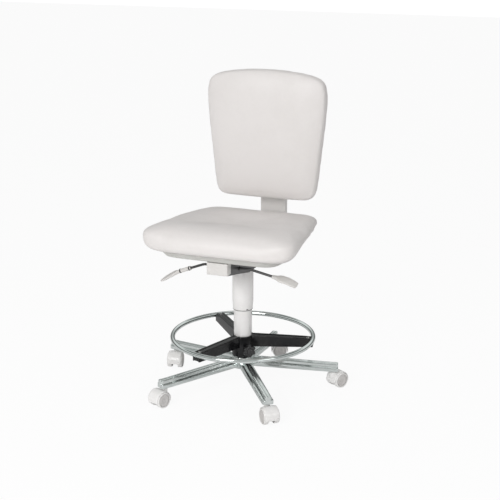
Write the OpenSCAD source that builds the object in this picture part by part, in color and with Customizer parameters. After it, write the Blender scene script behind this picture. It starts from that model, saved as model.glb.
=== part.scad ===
// Drafting chair: five-arm castor base, gas lift, sliding foot ring, padded seat and back.
// Millimetres, Z up. The origin is on the floor under the column axis. The sitter faces -Y.

/* [Base] */
// Radius of the circle of castor stems
stem_circle_r = 291; // [250:1:320]
// Direction of the first base arm, degrees from +X
first_arm_turn = 18; // [0:1:71]
// Radius of the base hub
hub_r = 36; // [35:0.5:44]
// Height of the base hub
hub_h = 40; // [34:1:50]
// Top of the base hub above the floor
hub_top_z = 108; // [100:1:125]
// Width of a base arm where it meets the hub
arm_root_w = 40; // [34:1:41]
// Width of a base arm at its tip
arm_tip_w = 35; // [30:1:40]
// Width of the raised rib along the top of an arm
arm_rib_w = 21; // [14:1:26]
// Height of an arm at its tip
arm_tip_h = 25; // [20:1:32]
// Height of an arm at the hub
arm_root_h = 27; // [24:1:36]
// Height of the side flanges below the rib step
arm_flange_h = 12; // [9:1:16]
// Sheet thickness of the pressed arms
arm_wall = 2.5; // [1.5:0.1:4]

/* [Castors] */
// Diameter of a castor wheel
wheel_d = 50; // [40:1:60]
// Width of one wheel of the pair
wheel_w = 15; // [10:0.5:18]
// Gap between the two wheels of a castor
wheel_gap = 20; // [19.5:0.5:26]
// Distance from the swivel axis back to the axle
castor_trail = 21; // [16:1:26]
// Diameter of the castor stem
stem_d = 11; // [8:0.5:12]
// Diameter of the wheel axle
axle_d = 6; // [5:0.5:8]
// Thickness of the hood over the wheels
hood_wall = 2.8; // [2:0.1:4]
// Height of bare stem between the castor and the arm
stem_reach = 5; // [3:0.5:10]

/* [Column] */
// Outer diameter of the steel stand tube
stand_d = 50; // [40:1:54]
// Outer diameter of the fixed column sleeve
sleeve_d = 58; // [56:1:64]
// Height of the column sleeve's top above the floor
sleeve_top_z = 388; // [360:1:420]
// Outer diameter of the upper telescopic cover
cover_d = 67; // [66:0.5:76]
// Height of the upper cover's lower edge above the floor
cover_low_z = 265; // [262:1:290]
// Length of the tapered skirt of the upper cover
cover_skirt_h = 23; // [10:1:30]
// Wall of the telescopic covers
cover_wall = 1.6; // [1.2:0.1:2.5]
// Outer diameter of the gas cylinder
cylinder_d = 28; // [24:1:30]
// Diameter of the piston rod
rod_d = 10; // [8:1:12]
// Height range of the seat
seat_stroke = 200; // [120:5:210]

/* [Foot ring] */
// Radius of the ring's centre line
ring_r = 226; // [200:1:250]
// Diameter of the ring's tube
ring_tube_d = 15.5; // [12:0.5:22]
// Height of the ring's centre line above the floor at its lowest place
ring_z = 171; // [165:1:185]
// Direction of the first spider arm, degrees from +X
first_spoke_turn = 12; // [0:1:119]
// Width of a spider arm
spoke_w = 27; // [18:1:32]
// Height of a spider arm at the hub
spoke_root_h = 38; // [30:1:50]
// Height of a spider arm at the ring
spoke_tip_h = 29; // [22:1:38]
// Wall of the spider's hub and arms
spoke_wall = 3; // [2:0.5:4]
// Wall of the sliding hub around the sleeve
collar_wall = 6; // [4:0.5:9]
// Direction of the clamping knob, degrees from +X
knob_turn = -48; // [-60:1:-40]
// Diameter of the clamping knob
knob_d = 42; // [32:1:50]
// Diameter of the clamping screw
clamp_screw_d = 8; // [6:1:10]

/* [Mechanism] */
// Width of the mechanism housing
box_w = 66; // [60:1:74]
// Distance from the column axis to the housing's front
box_front = 208; // [190:1:225]
// Height of the housing at its front
box_front_h = 40; // [30:1:46]
// Distance from the column axis to the housing's rear
box_rear = 98; // [85:1:110]
// Underside of the housing at the column above the floor
box_low_z = 396; // [390:1:402]
// Sheet thickness of the housing
box_wall = 3; // [2:0.5:4]
// Width of the seat mounting plate
plate_w = 190; // [160:1:220]
// Length of the seat mounting plate
plate_l = 230; // [210:1:250]
// Height of the mounting plate's top face at the column axis
plate_z = 460; // [455:1:470]
// Backward tilt of the seat
seat_tilt = 4; // [0:0.5:6]
// Distance of the back arm's pivot behind the column axis
pivot_y = 68; // [60:1:75]
// Height of the back arm's pivot above the floor
pivot_z = 424; // [418:1:428]
// Diameter of the back arm's pivot pin
pivot_d = 12; // [8:1:14]

/* [Levers] */
// Distance of the levers in front of the column axis
lever_y = 115; // [90:1:130]
// Height of the lever pivots above the floor
lever_z = 434; // [433:0.5:436]
// Diameter of the lever rods
lever_d = 8; // [6:0.5:9]
// Width of a lever paddle
paddle_w = 30; // [20:1:38]
// Thickness of a lever paddle
paddle_t = 11; // [10:0.5:14]

/* [Seat] */
// Width of the seat cushion at its widest
seat_w = 500; // [440:1:520]
// Depth of the seat cushion
seat_depth = 464; // [420:1:500]
// Distance from the column axis to the cushion's front
seat_front = 256; // [230:1:270]
// Width of the seat cushion at its rear
seat_rear_w = 380; // [340:1:430]
// Thickness of the seat cushion above the pan
seat_pad_h = 76; // [60:1:100]
// Overhang of the cushion beyond the pan at the front
seat_overhang = 34; // [20:1:60]
// Overhang of the cushion beyond the pan at each side
seat_side_overhang = 62; // [30:1:76]
// Height of the visible edge of the seat pan
pan_h = 18; // [16:1:26]
// Wall of the seat pan
pan_wall = 3; // [2:0.5:4]
// Thickness of the plywood seat board
board_t = 12; // [9:1:14]

/* [Back] */
// Width of the backrest at the shoulders
back_w = 402; // [360:1:440]
// Width of the backrest at its lower edge
back_low_w = 366; // [320:1:400]
// Lower edge of the backrest above the floor
back_low_z = 576; // [565:1:600]
// Height of the backrest
back_h = 434; // [380:1:480]
// Thickness of the back cushion
back_pad_t = 46; // [30:1:60]
// Depth of the rear shell
back_shell_t = 13; // [12:0.5:18]
// Wall of the rear shell
back_wall = 3; // [2:0.5:4]
// Thickness of the plywood back board
back_board_t = 9; // [6:1:9]
// Distance from the column axis to the upright's front face
upright_y = 271; // [265:1:285]
// Width of the upright's cover
upright_w = 87; // [76:1:100]
// Depth of the upright's cover
upright_t = 28; // [24:1:34]
// Gap between the rear shell and the upright, bridged by the carriage
back_standoff = 31; // [8:1:40]
// Width of the steel back arm
back_arm_w = 50; // [40:1:54]
// Thickness of the steel back arm
back_arm_t = 10; // [8:1:12]
// Length of the sliding carriage on the upright
carriage_h = 110; // [80:5:130]

/* [Fits] */
// Radial clearance of turning and sliding fits
run_gap = 0.05; // [0.02:0.01:0.1]
// Clearance between pieces that only stand beside each other
free_gap = 0.5; // [0.3:0.1:1]

/* [Hidden] */
$fn = 64;
eps = 0.5;
arm_count = 5;
spoke_count = 3;
// Resting turns of the castors about their stems, one for each base arm
castor_turns = [-31, -68, -168, 156, -138];

// Castor levels, from the floor up
axle_z = wheel_d / 2;
hood_r = wheel_d / 2 + 1.6 + hood_wall;
castor_w = 2 * wheel_w + wheel_gap;
castor_top_z = axle_z + hood_r - eps;
castor_hub_r = wheel_gap / 2 - free_gap;
castor_hub_low_z = axle_z + axle_d / 2 + 8;
arm_tip_low_z = castor_top_z + stem_reach;
arm_tip_top_z = arm_tip_low_z + arm_tip_h;
arm_root_top_z = hub_top_z - 4;
boss_r = stem_d / 2 + 5.5;
arm_end_r = stem_circle_r + arm_tip_w / 2;

// Column, from the axis out
stand_r = stand_d / 2;
stand_wall = 2;
stand_low_z = hub_top_z - hub_h - 2;
stand_top_z = sleeve_top_z - 6;
stand_floor_t = 3;
sleeve_r = sleeve_d / 2;
cover_r = cover_d / 2;
cover_top_z = box_low_z - free_gap;
stage_top_z = sleeve_top_z + 2;
stage_low_z = cover_low_z + cover_skirt_h + 2;
stage_wall = 0.8;
stage_r = sleeve_r + run_gap + stage_wall;
skirt_in_r = stage_r + run_gap;
skirt_r = skirt_in_r + cover_wall;
cylinder_r = cylinder_d / 2;
cylinder_wall = 1.5;
cylinder_low_z = hub_top_z - 8;
cylinder_top_z = lever_z - lever_d / 2 - 6;
rod_r = rod_d / 2;
bearing_h = 7;
bearing_low_z = stand_low_z + stand_floor_t;
piston_h = 12;
piston_z = cylinder_low_z + seat_stroke + 45;
bush_h = 80;
release_d = 6;
release_low_z = cylinder_top_z - 9;
release_top_z = lever_z - lever_d / 2 - free_gap;

// Foot ring
collar_r = sleeve_r + collar_wall;
collar_low_z = hub_top_z + 1;
collar_top_z = ring_z + 6;
spoke_top_z = ring_z + ring_tube_d / 2;
knob_z = collar_low_z + 30;
knob_h = 18;
knob_near_r = collar_r + 14;

// Mechanism, in the tilted frame of the seat whose z = 0 is the mounting plate's top
half_box = box_w / 2;
socket_r = cylinder_r + 7;
eye_r = pivot_d / 2 + 7;
plate_hole_x = 80;
plate_hole_y = 88;
bolt_d = 6;
plate_shift_y = -4;
pin_head = 3;

// Levers, as [x, z] measured from the pivot: bend, start of the paddle, its middle and its tip
right_lever = [[36, 0], [110, -15], [157, -23], [187, -35]];
left_lever = [[49, 1], [96, -17], [148, -37], [199, -70]];
lever_bend_x = half_box / 2;
lever_pin_x = 7;
lever_pin_l = 18;
lever_pin_r = 3;
lever_swing_gap = 3.2;

// Seat, in the tilted frame
pan_front = seat_front - seat_overhang;
pan_rear = seat_depth - seat_front - 30;
pan_front_w = seat_w - 2 * seat_side_overhang;
pan_rear_w = seat_rear_w - 1.6 * seat_side_overhang;
pan_corner = 62;
seat_corner = 58;
cushion_low = pan_h + 0.3;

// Back, from the upright forward
shell_rear_y = upright_y - back_standoff;
shell_front_y = shell_rear_y - back_shell_t;
carriage_wall = 4;
flange_t = 5;
carriage_low_z = back_low_z + 60;
back_slide = 70;
bar_y = upright_y + upright_t / 2;
upright_low_z = pivot_z + 62;
upright_top_z = carriage_low_z + carriage_h + back_slide + 8;
bar_bend_r = 45;
screw_d = 5;
back_screw_x = 30;
back_screw_z = 35;
layer_t = 0.4;

// ---- Placement helpers ----

function arm_turn(i) = first_arm_turn + 360 / arm_count * i;

module on_arm(i) {
  rotate([0, 0, arm_turn(i)]) children();
}

module at_castor(i) {
  on_arm(i) translate([stem_circle_r, 0, 0])
    rotate([0, 0, castor_turns[i] - arm_turn(i)]) children();
}

module along_x() {
  rotate([0, 90, 0]) children();
}

module tilted() {
  translate([0, 0, plate_z]) rotate([-seat_tilt, 0, 0]) children();
}

module tube(h, outer_r, inner_r) {
  difference() {
    cylinder(h = h, r = outer_r);
    translate([0, 0, -eps]) cylinder(h = h + 2 * eps, r = inner_r);
  }
}

module centred_box(size) {
  translate([-size[0] / 2, -size[1] / 2, 0]) cube(size);
}

// ---- Base ----

// Plan of an arm: a taper with a blunt, round-cornered end
module arm_plan(root_w, tip_w, end_r) {
  corner = tip_w / 4;
  polygon([
    [0, -root_w / 2], [end_r - corner, -tip_w / 2],
    [end_r - corner, tip_w / 2], [0, root_w / 2],
  ]);
  translate([end_r - corner, corner - tip_w / 2]) square([corner, tip_w - 2 * corner]);
  for (side = [-1, 1])
    translate([end_r - corner, side * (tip_w / 2 - corner)]) circle(r = corner);
}

// Side view of an arm between two sloping lines, swept across the arm
module arm_side(root_low, root_high, tip_low, tip_high) {
  rotate([90, 0, 0])
    translate([0, 0, -arm_root_w])
      linear_extrude(height = 2 * arm_root_w)
        polygon([
          [0, root_low], [stem_circle_r, tip_low], [arm_end_r + eps, tip_low],
          [arm_end_r + eps, tip_high], [stem_circle_r, tip_high], [0, root_high],
        ]);
}

// One layer of an arm, thinned all round and lowered by a margin
module arm_layer(root_w, tip_w, root_high, tip_high, margin, sink) {
  root_low = arm_root_top_z - arm_root_h - sink;
  intersection() {
    linear_extrude(height = hub_top_z)
      arm_plan(root_w - 2 * margin, tip_w - 2 * margin, arm_end_r - margin);
    arm_side(root_low, root_high - margin, arm_tip_low_z - sink, tip_high - margin);
  }
}

module arm_body(margin, sink) {
  root_low = arm_root_top_z - arm_root_h;
  arm_layer(arm_root_w, arm_tip_w, root_low + arm_flange_h + 4,
            arm_tip_low_z + arm_flange_h, margin, sink);
  arm_layer(arm_rib_w + 2, arm_rib_w, arm_root_top_z, arm_tip_top_z, margin, sink);
}

module base_arm(i) {
  color("silver")
    on_arm(i)
      difference() {
        union() {
          difference() {
            arm_body(0, 0);
            arm_body(arm_wall, eps);
          }
          intersection() {
            translate([stem_circle_r, 0, 0])
              cylinder(h = arm_tip_top_z, r = boss_r);
            arm_body(0, 0);
          }
        }
        translate([0, 0, -eps]) cylinder(h = hub_top_z + 2 * eps, r = hub_r);
        translate([stem_circle_r, 0, -eps])
          cylinder(h = arm_tip_top_z - arm_wall + eps, r = stem_d / 2 + run_gap);
      }
}

module base_hub() {
  color("silver")
    difference() {
      translate([0, 0, hub_top_z - hub_h]) cylinder(h = hub_h, r = hub_r);
      translate([0, 0, hub_top_z - hub_h - eps])
        cylinder(h = hub_h + 2 * eps, r = stand_r + run_gap);
    }
}

module castor_stems() {
  color("dimgray")
    for (i = [0 : arm_count - 1])
      on_arm(i)
        translate([stem_circle_r, 0, 0]) {
          translate([0, 0, castor_hub_low_z + 2 + free_gap])
            cylinder(h = arm_tip_top_z - arm_wall - 2 * free_gap - castor_hub_low_z - 2,
                     r = stem_d / 2);
          translate([0, 0, castor_top_z + 1])
            cylinder(h = stem_reach - 1 - free_gap, r = stem_d / 2 + 2);
        }
}

// ---- Castors ----

// Sector that keeps the hood's front, top and rear, with the floor side open
module hood_sector() {
  reach = 2 * hood_r;
  polygon([
    [0, 0], [reach, -reach * 0.25], [reach, reach], [-reach, reach],
    [-reach, -reach * 0.25],
  ]);
}

// Side outline of the hood about the axle, with the stem towards -X
module hood_side(outer_r, inner_r) {
  intersection() {
    difference() {
      circle(r = outer_r);
      circle(r = inner_r);
    }
    hood_sector();
  }
}

module swept_across(width) {
  rotate([90, 0, 90])
    translate([0, 0, -width / 2])
      linear_extrude(height = width) children();
}

module castor_hood(i) {
  web_t = 8;
  color("white")
    at_castor(i)
      difference() {
        union() {
          translate([0, castor_trail, axle_z]) {
            swept_across(castor_w - 5) hood_side(hood_r, hood_r - hood_wall);
            swept_across(web_t) {
              hood_side(hood_r - 0.2, 0);
              circle(r = axle_d / 2 + 5);
            }
            translate([free_gap - wheel_gap / 2, 0, 0])
              along_x() cylinder(h = wheel_gap - 2 * free_gap, r = axle_d / 2 + 4);
          }
          translate([0, 0, castor_hub_low_z])
            cylinder(h = castor_top_z - castor_hub_low_z, r = castor_hub_r);
        }
        translate([0, 0, castor_hub_low_z + 2])
          cylinder(h = hood_r * 2, r = stem_d / 2 + run_gap);
        translate([-castor_w, castor_trail, axle_z])
          along_x() cylinder(h = 2 * castor_w, r = axle_d / 2 + run_gap);
      }
}

module castor_axle(i) {
  axle_l = castor_w - 4;
  color("dimgray")
    at_castor(i)
      translate([-axle_l / 2, castor_trail, axle_z])
        along_x() cylinder(h = axle_l, r = axle_d / 2);
}

// Half section of a wheel from its inner face out, about the axle
module wheel_section() {
  tread_r = wheel_d / 2;
  edge = 2.5;
  bore_r = axle_d / 2 + run_gap;
  cap_t = 1.6;
  polygon([
    [bore_r, 0], [tread_r - edge, 0], [tread_r, edge],
    [tread_r, wheel_w - edge], [tread_r - edge, wheel_w], [0, wheel_w],
    [0, wheel_w - cap_t], [bore_r, wheel_w - cap_t],
  ]);
}

module castor_wheel(i, side) {
  color("whitesmoke")
    at_castor(i)
      translate([0, castor_trail, axle_z])
        rotate([0, side * 90, 0])
          translate([0, 0, wheel_gap / 2])
            rotate_extrude() wheel_section();
}

// ---- Column ----

module stand_tube() {
  color("silver")
    translate([0, 0, stand_low_z])
      difference() {
        cylinder(h = stand_top_z - stand_low_z, r = stand_r);
        translate([0, 0, stand_floor_t])
          cylinder(h = stand_top_z, r = stand_r - stand_wall);
        translate([0, 0, -eps]) cylinder(h = stand_floor_t + 2 * eps, r = rod_r + free_gap);
      }
}

module column_sleeve() {
  color("white")
    translate([0, 0, hub_top_z])
      tube(sleeve_top_z - hub_top_z, sleeve_r, stand_r + run_gap);
}

module guide_bush() {
  color("dimgray")
    translate([0, 0, stand_top_z - bush_h])
      tube(bush_h, stand_r - stand_wall - run_gap, cylinder_r + run_gap);
}

module thrust_bearing() {
  color("silver")
    translate([0, 0, bearing_low_z])
      tube(bearing_h, rod_r + 9, rod_r + free_gap);
}

// The rod hangs in the stand tube: a shoulder rests on the bearing, the piston is on top
module piston_rod() {
  clip_depth = 1.5;
  color("silver")
    difference() {
      union() {
        translate([0, 0, stand_low_z - 5])
          cylinder(h = piston_z - stand_low_z + 6, r = rod_r);
        translate([0, 0, bearing_low_z + bearing_h]) cylinder(h = 4, r = rod_r + 6);
        translate([0, 0, piston_z])
          cylinder(h = piston_h, r = cylinder_r - cylinder_wall - run_gap);
      }
      translate([0, 0, stand_low_z - 3]) tube(2, rod_r + eps, rod_r - clip_depth);
    }
}

module retaining_clip() {
  color("dimgray")
    translate([0, 0, stand_low_z - 2.8])
      tube(1.6, rod_r + 4, rod_r - 1.5 + run_gap);
}

module gas_cylinder() {
  inner_r = cylinder_r - cylinder_wall;
  body_h = cylinder_top_z - cylinder_low_z;
  seal_t = 10;
  color("dimgray")
    translate([0, 0, cylinder_low_z])
      difference() {
        cylinder(h = body_h, r = cylinder_r);
        translate([0, 0, seal_t]) cylinder(h = body_h - 2 * seal_t, r = inner_r);
        translate([0, 0, -eps]) cylinder(h = body_h / 2, r = rod_r + run_gap);
        translate([0, 0, body_h / 2]) cylinder(h = body_h, r = release_d / 2 + run_gap);
      }
}

module release_pin() {
  color("silver")
    translate([0, 0, release_low_z])
      cylinder(h = release_top_z - release_low_z, r = release_d / 2);
}

module middle_cover() {
  color("white")
    translate([0, 0, stage_low_z])
      tube(stage_top_z - stage_low_z, stage_r, sleeve_r + run_gap);
}

module upper_cover() {
  inner_r = cover_r - cover_wall;
  color("white")
    rotate_extrude()
      polygon([
        [skirt_in_r, cover_low_z], [skirt_r, cover_low_z],
        [cover_r, cover_low_z + cover_skirt_h], [cover_r, cover_top_z],
        [inner_r, cover_top_z], [inner_r, cover_low_z + cover_skirt_h],
      ]);
}

// ---- Foot ring ----

module foot_ring() {
  color("silver")
    translate([0, 0, ring_z])
      rotate_extrude() translate([ring_r, 0]) circle(d = ring_tube_d);
}

module on_spoke(i) {
  rotate([0, 0, first_spoke_turn + 360 / spoke_count * i]) children();
}

// Side view of a spider arm, swept to a width; a margin thins its top
module spoke_bar(width, margin) {
  end_r = ring_r + 2;
  rotate([90, 0, 0])
    translate([0, 0, -width / 2])
      linear_extrude(height = width)
        polygon([
          [sleeve_r, spoke_top_z - spoke_root_h - margin],
          [end_r, spoke_top_z - spoke_tip_h - margin],
          [end_r, spoke_top_z - margin], [sleeve_r, spoke_top_z - margin],
        ]);
}

module ring_spider() {
  color("black")
    difference() {
      union() {
        for (i = [0 : spoke_count - 1])
          on_spoke(i)
            difference() {
              spoke_bar(spoke_w, 0);
              spoke_bar(spoke_w - 2 * spoke_wall, spoke_wall);
            }
        translate([0, 0, collar_low_z])
          cylinder(h = collar_top_z - collar_low_z, r = collar_r);
        rotate([0, 0, knob_turn])
          translate([sleeve_r + 1, 0, knob_z])
            along_x() cylinder(h = knob_near_r - sleeve_r - 3, r = clamp_screw_d / 2 + 5);
      }
      translate([0, 0, collar_low_z - eps])
        cylinder(h = spoke_top_z, r = sleeve_r + run_gap);
      rotate([0, 0, knob_turn])
        translate([0, 0, knob_z])
          along_x() cylinder(h = ring_r, r = clamp_screw_d / 2 + run_gap);
      translate([0, 0, ring_z])
        rotate_extrude() translate([ring_r, 0]) circle(d = ring_tube_d);
      for (i = [0 : spoke_count - 1])
        on_spoke(i) ring_screw_hole(run_gap);
    }
}

// Upright hole or shank beside the ring, through the arm's top
module ring_screw_hole(gap) {
  translate([ring_r - ring_tube_d, 0, spoke_top_z - spoke_wall - eps])
    cylinder(h = spoke_wall + 2 * eps, r = screw_d / 2 + gap);
}

module ring_screws() {
  color("dimgray")
    for (i = [0 : spoke_count - 1])
      on_spoke(i) {
        ring_screw_hole(0);
        translate([ring_r - ring_tube_d, 0, spoke_top_z]) cylinder(h = 2.5, r = screw_d);
      }
}

module clamp_screw() {
  color("silver")
    rotate([0, 0, knob_turn])
      translate([sleeve_r + 0.3, 0, knob_z])
        along_x() cylinder(h = knob_near_r + knob_h / 2 - sleeve_r, r = clamp_screw_d / 2);
}

module star_knob() {
  lobe_count = 6;
  lobe_r = knob_d / 8;
  color("black")
    rotate([0, 0, knob_turn])
      translate([knob_near_r, 0, knob_z])
        along_x()
          difference() {
            union() {
              cylinder(h = knob_h, r = knob_d / 2 - lobe_r * 0.6);
              for (i = [0 : lobe_count - 1])
                rotate([0, 0, 360 / lobe_count * i])
                  translate([knob_d / 2 - lobe_r, 0, 0]) cylinder(h = knob_h, r = lobe_r);
            }
            translate([0, 0, -eps])
              cylinder(h = knob_h / 2 + 1 + eps, r = clamp_screw_d / 2 + run_gap);
          }
}

// ---- Mechanism ----

// Side view of the housing, in world Y and Z, below the tilted mounting plate
module box_side() {
  front_top = plate_z + box_front * sin(seat_tilt);
  rear_top = plate_z - box_rear * sin(seat_tilt);
  polygon([
    [-box_front, front_top - box_front_h], [-box_front, front_top],
    [box_rear, rear_top], [box_rear, pivot_z - eye_r],
    [pivot_y - eye_r, box_low_z], [-socket_r - 6, box_low_z],
    [-lever_y - 20, lever_z - 14],
  ]);
}

// Space under the mounting plate, open at the front, the rear and below
module box_inside() {
  front_top = plate_z + box_front * sin(seat_tilt) - box_wall;
  rear_top = plate_z - box_rear * sin(seat_tilt) - box_wall;
  polygon([
    [-box_front - eps, 0], [-box_front - eps, front_top],
    [box_rear + eps, rear_top], [box_rear + eps, 0],
  ]);
}

module mechanism_housing() {
  web_w = 46;
  web_t = 5;
  color("dimgray")
    difference() {
      union() {
        difference() {
          swept_across(box_w) box_side();
          swept_across(box_w - 2 * box_wall) box_inside();
        }
        tilted()
          translate([0, plate_shift_y, -box_wall]) centred_box([plate_w, plate_l, box_wall]);
        translate([0, 0, box_low_z])
          cylinder(h = cylinder_top_z - box_low_z, r = socket_r);
        translate([0, 0, box_low_z + web_t]) centred_box([box_w - box_wall, web_w, web_t]);
      }
      tilted() translate([-plate_w, -box_front * 2, 0]) cube([2 * plate_w, box_front * 4, 99]);
      translate([0, 0, box_low_z - eps])
        cylinder(h = cylinder_top_z - box_low_z + 2 * eps, r = cylinder_r + run_gap);
      translate([-box_w, pivot_y, pivot_z])
        along_x() cylinder(h = 2 * box_w, r = pivot_d / 2 + run_gap);
      translate([-box_w, -lever_y, lever_z])
        along_x() cylinder(h = 2 * box_w, r = lever_d / 2 + lever_swing_gap);
      tilted() seat_bolt_shanks(-box_wall - eps, box_wall + 2 * eps, run_gap);
    }
}

module seat_bolt_shanks(low, height, gap) {
  for (x = [-1, 1])
    for (y = [-1, 1])
      translate([x * plate_hole_x, plate_shift_y + y * plate_hole_y, low])
        cylinder(h = height, r = bolt_d / 2 + gap);
}

// Cap over the housing's open front, with a plug that goes inside
module front_cap() {
  cap_t = 5;
  plug_l = 12;
  plug_h = box_front_h - box_wall - 4;
  low_z = plate_z + box_front * sin(seat_tilt) - box_front_h;
  color("lightgray")
    translate([0, -box_front, low_z]) {
      translate([0, -cap_t / 2, 0]) centred_box([box_w + 1, cap_t, box_front_h - 2]);
      translate([0, plug_l / 2, 2])
        centred_box([box_w - 2 * box_wall - free_gap, plug_l, plug_h - 2]);
    }
}

module pivot_pin() {
  color("silver")
    translate([0, pivot_y, pivot_z])
      along_x() {
        translate([0, 0, -half_box - free_gap]) cylinder(h = box_w + 2 * free_gap, r = pivot_d / 2);
        for (side = [-1, 1])
          translate([0, 0, side * (half_box + free_gap + pin_head / 2) - pin_head / 2])
            cylinder(h = pin_head, r = pivot_d / 2 + 3);
      }
}

// ---- Levers ----

// A round rod through a list of points, with balls at its start and bends
module rod_path(points, r, seam_turn) {
  last = len(points) - 1;
  ball_r = r + 0.2;
  for (i = [0 : last - 1]) straight_rod(points[i], points[i + 1], r);
  for (i = [0 : last - 1])
    translate(points[i])
      rotate(i == last - 1 ? [0, 90, 0] : [0, 0, seam_turn]) sphere(r = ball_r);
}

module straight_rod(start, end, r) {
  step = end - start;
  translate(start)
    rotate([0, acos(step[2] / norm(step)), atan2(step[1], step[0])])
      cylinder(h = norm(step), r = r);
}

// Lever points of one side in world coordinates, with x counted from the housing's side
function lever_point(side, p) = [side * (half_box + p[0]), -lever_y, lever_z + p[1]];

// End of the rod inside its paddle, in line with the rod's outer stretch
function rod_end(plan, past) = plan[0] + (plan[1] - plan[0]) * (1.3 + past);

// Bent rod with the cross pin that it turns on, just inside the housing's side
module lever_rod(side, plan, inner_end) {
  color("dimgray") {
    rod_path([
      inner_end, lever_point(side, [-lever_bend_x, 0]), lever_point(side, plan[0]),
      lever_point(side, rod_end(plan, 0)),
    ], lever_d / 2, side > 0 ? 180 : 0);
    translate(lever_point(side, [-lever_pin_x, 0]))
      rotate([90, 0, 0])
        translate([0, 0, -lever_pin_l / 2]) cylinder(h = lever_pin_l, r = lever_pin_r);
  }
}

// Flat, tapering grip along the outer part of a lever
module lever_grip(side, plan, tip_w) {
  stations = [plan[1], plan[2], plan[3]];
  widths = [paddle_w * 0.5, paddle_w, tip_w];
  color("lightgray")
    difference() {
      for (i = [0, 1])
        hull() {
          for (k = [0, 1])
            for (edge = [-1, 1])
              translate(lever_point(side, stations[i + k]))
                translate([0, edge * (widths[i + k] - paddle_t) / 2, 0])
                  sphere(d = paddle_t - k * i * 4, $fn = 24);
        }
      straight_rod(lever_point(side, plan[0]), lever_point(side, rod_end(plan, 0.01)),
                   lever_d / 2 + run_gap);
    }
}

module height_lever() {
  lever_rod(1, right_lever, [0, 4, lever_z]);
}

module height_paddle() {
  lever_grip(1, right_lever, paddle_w * 0.7);
}

module tilt_lever() {
  lever_rod(-1, left_lever, [-half_box + 10, 30, lever_z]);
}

module tilt_paddle() {
  lever_grip(-1, left_lever, paddle_t + 3);
}

// ---- Seat ----

// Four corner discs of a rounded trapezoid, grown or shrunk by a margin
module seat_corners(front, rear, front_w, rear_w, corner, grow, h) {
  for (side = [-1, 1]) {
    translate([side * (front_w / 2 - corner), corner - front, 0])
      cylinder(h = h, r = corner + grow, $fn = 32);
    translate([side * (rear_w / 2 - corner), rear - corner, 0])
      cylinder(h = h, r = corner + grow, $fn = 32);
  }
}

module pan_slab(low, h, grow) {
  translate([0, 0, low])
    hull()
      seat_corners(pan_front, pan_rear, pan_front_w, pan_rear_w, pan_corner, grow, h);
}

module seat_pan() {
  color("gainsboro")
    tilted()
      difference() {
        hull() {
          seat_corners(pan_front, pan_rear, pan_front_w, pan_rear_w, pan_corner, -5, 1);
          translate([0, 0, 5])
            seat_corners(pan_front, pan_rear, pan_front_w, pan_rear_w, pan_corner, 0,
                         pan_h - 5);
        }
        pan_slab(pan_wall, pan_h, -pan_wall - 2);
        seat_bolt_shanks(-eps, pan_wall + 2 * eps, run_gap);
      }
}

module seat_board() {
  color("burlywood")
    tilted()
      difference() {
        pan_slab(pan_wall, board_t, -pan_wall - 2 - free_gap);
        seat_bolt_shanks(pan_wall - eps, board_t / 2 + eps, run_gap);
      }
}

module seat_bolts() {
  color("dimgray")
    tilted() {
      seat_bolt_shanks(-box_wall, box_wall + pan_wall + board_t / 2 - free_gap, 0);
      translate([0, 0, -box_wall - 4]) seat_bolt_shanks(0, 4, 2.5);
    }
}

function mix(a, b, t) = a + (b - a) * t;

// The cushion swells out over the pan, is widest below its top and rounds over
module seat_cushion() {
  levels = 7;
  wide_at = 0.6;
  top_inset = 46;
  color("white")
    tilted()
      hull()
        for (i = [0 : levels]) {
          part = i / levels;
          out = min(1, pow(part / wide_at, 0.85));
          inset = part > wide_at ? top_inset * pow((part - wide_at) / (1 - wide_at), 2.2) : 0;
          translate([0, 0, cushion_low + part * seat_pad_h])
            seat_corners(mix(pan_front, seat_front, out),
                         mix(pan_rear, seat_depth - seat_front, out),
                         mix(pan_front_w, seat_w, out), mix(pan_rear_w, seat_rear_w, out),
                         mix(pan_corner, seat_corner, out), -inset, layer_t);
        }
}

// ---- Back ----

// Discs in the plane of the back: round lower corners, round shoulders, arched top
module back_discs(grow, t) {
  shoulder = 52;
  foot = 44;
  top_z = back_low_z + back_h;
  arch = 22;
  rotate([90, 0, 0]) {
    for (side = [-1, 1]) {
      translate([side * (back_w / 2 - shoulder), top_z - arch - shoulder, 0])
        cylinder(h = t, r = shoulder + grow, $fn = 32);
      translate([side * (back_low_w / 2 - foot), back_low_z + foot, 0])
        cylinder(h = t, r = foot + grow, $fn = 32);
      translate([side * back_w / 5, top_z - arch * 0.28 - shoulder, 0])
        cylinder(h = t, r = shoulder + grow, $fn = 32);
    }
    translate([0, top_z - shoulder, 0]) cylinder(h = t, r = shoulder + grow, $fn = 32);
  }
}

module back_slab(front_y, rear_y, grow) {
  translate([0, rear_y, 0]) hull() back_discs(grow, rear_y - front_y);
}

module back_shell() {
  color("whitesmoke")
    difference() {
      hull() {
        translate([0, shell_front_y + 5, 0]) back_discs(-3, 5);
        translate([0, shell_rear_y, 0]) back_discs(-9, 2);
      }
      back_slab(shell_front_y - eps, shell_rear_y - back_wall, -3 - back_wall - 4);
      back_screw_shanks(shell_rear_y - back_wall - eps, back_wall + 2 * eps, run_gap);
    }
}

module back_board() {
  color("burlywood")
    difference() {
      back_slab(shell_front_y + free_gap / 2, shell_front_y + back_board_t,
                -3 - back_wall - 4 - free_gap);
      back_screw_shanks(shell_front_y + 4 - eps, back_board_t, run_gap);
    }
}

module back_cushion() {
  levels = 6;
  color("white")
    hull()
      for (i = [0 : levels]) {
        part = i / levels;
        translate([0, shell_front_y - 0.3 - back_pad_t * part, 0])
          back_discs(part < 0.4 ? -5 * pow(1 - part / 0.4, 2)
                                : -26 * pow((part - 0.4) / 0.6, 2.6), layer_t);
      }
}

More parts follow.
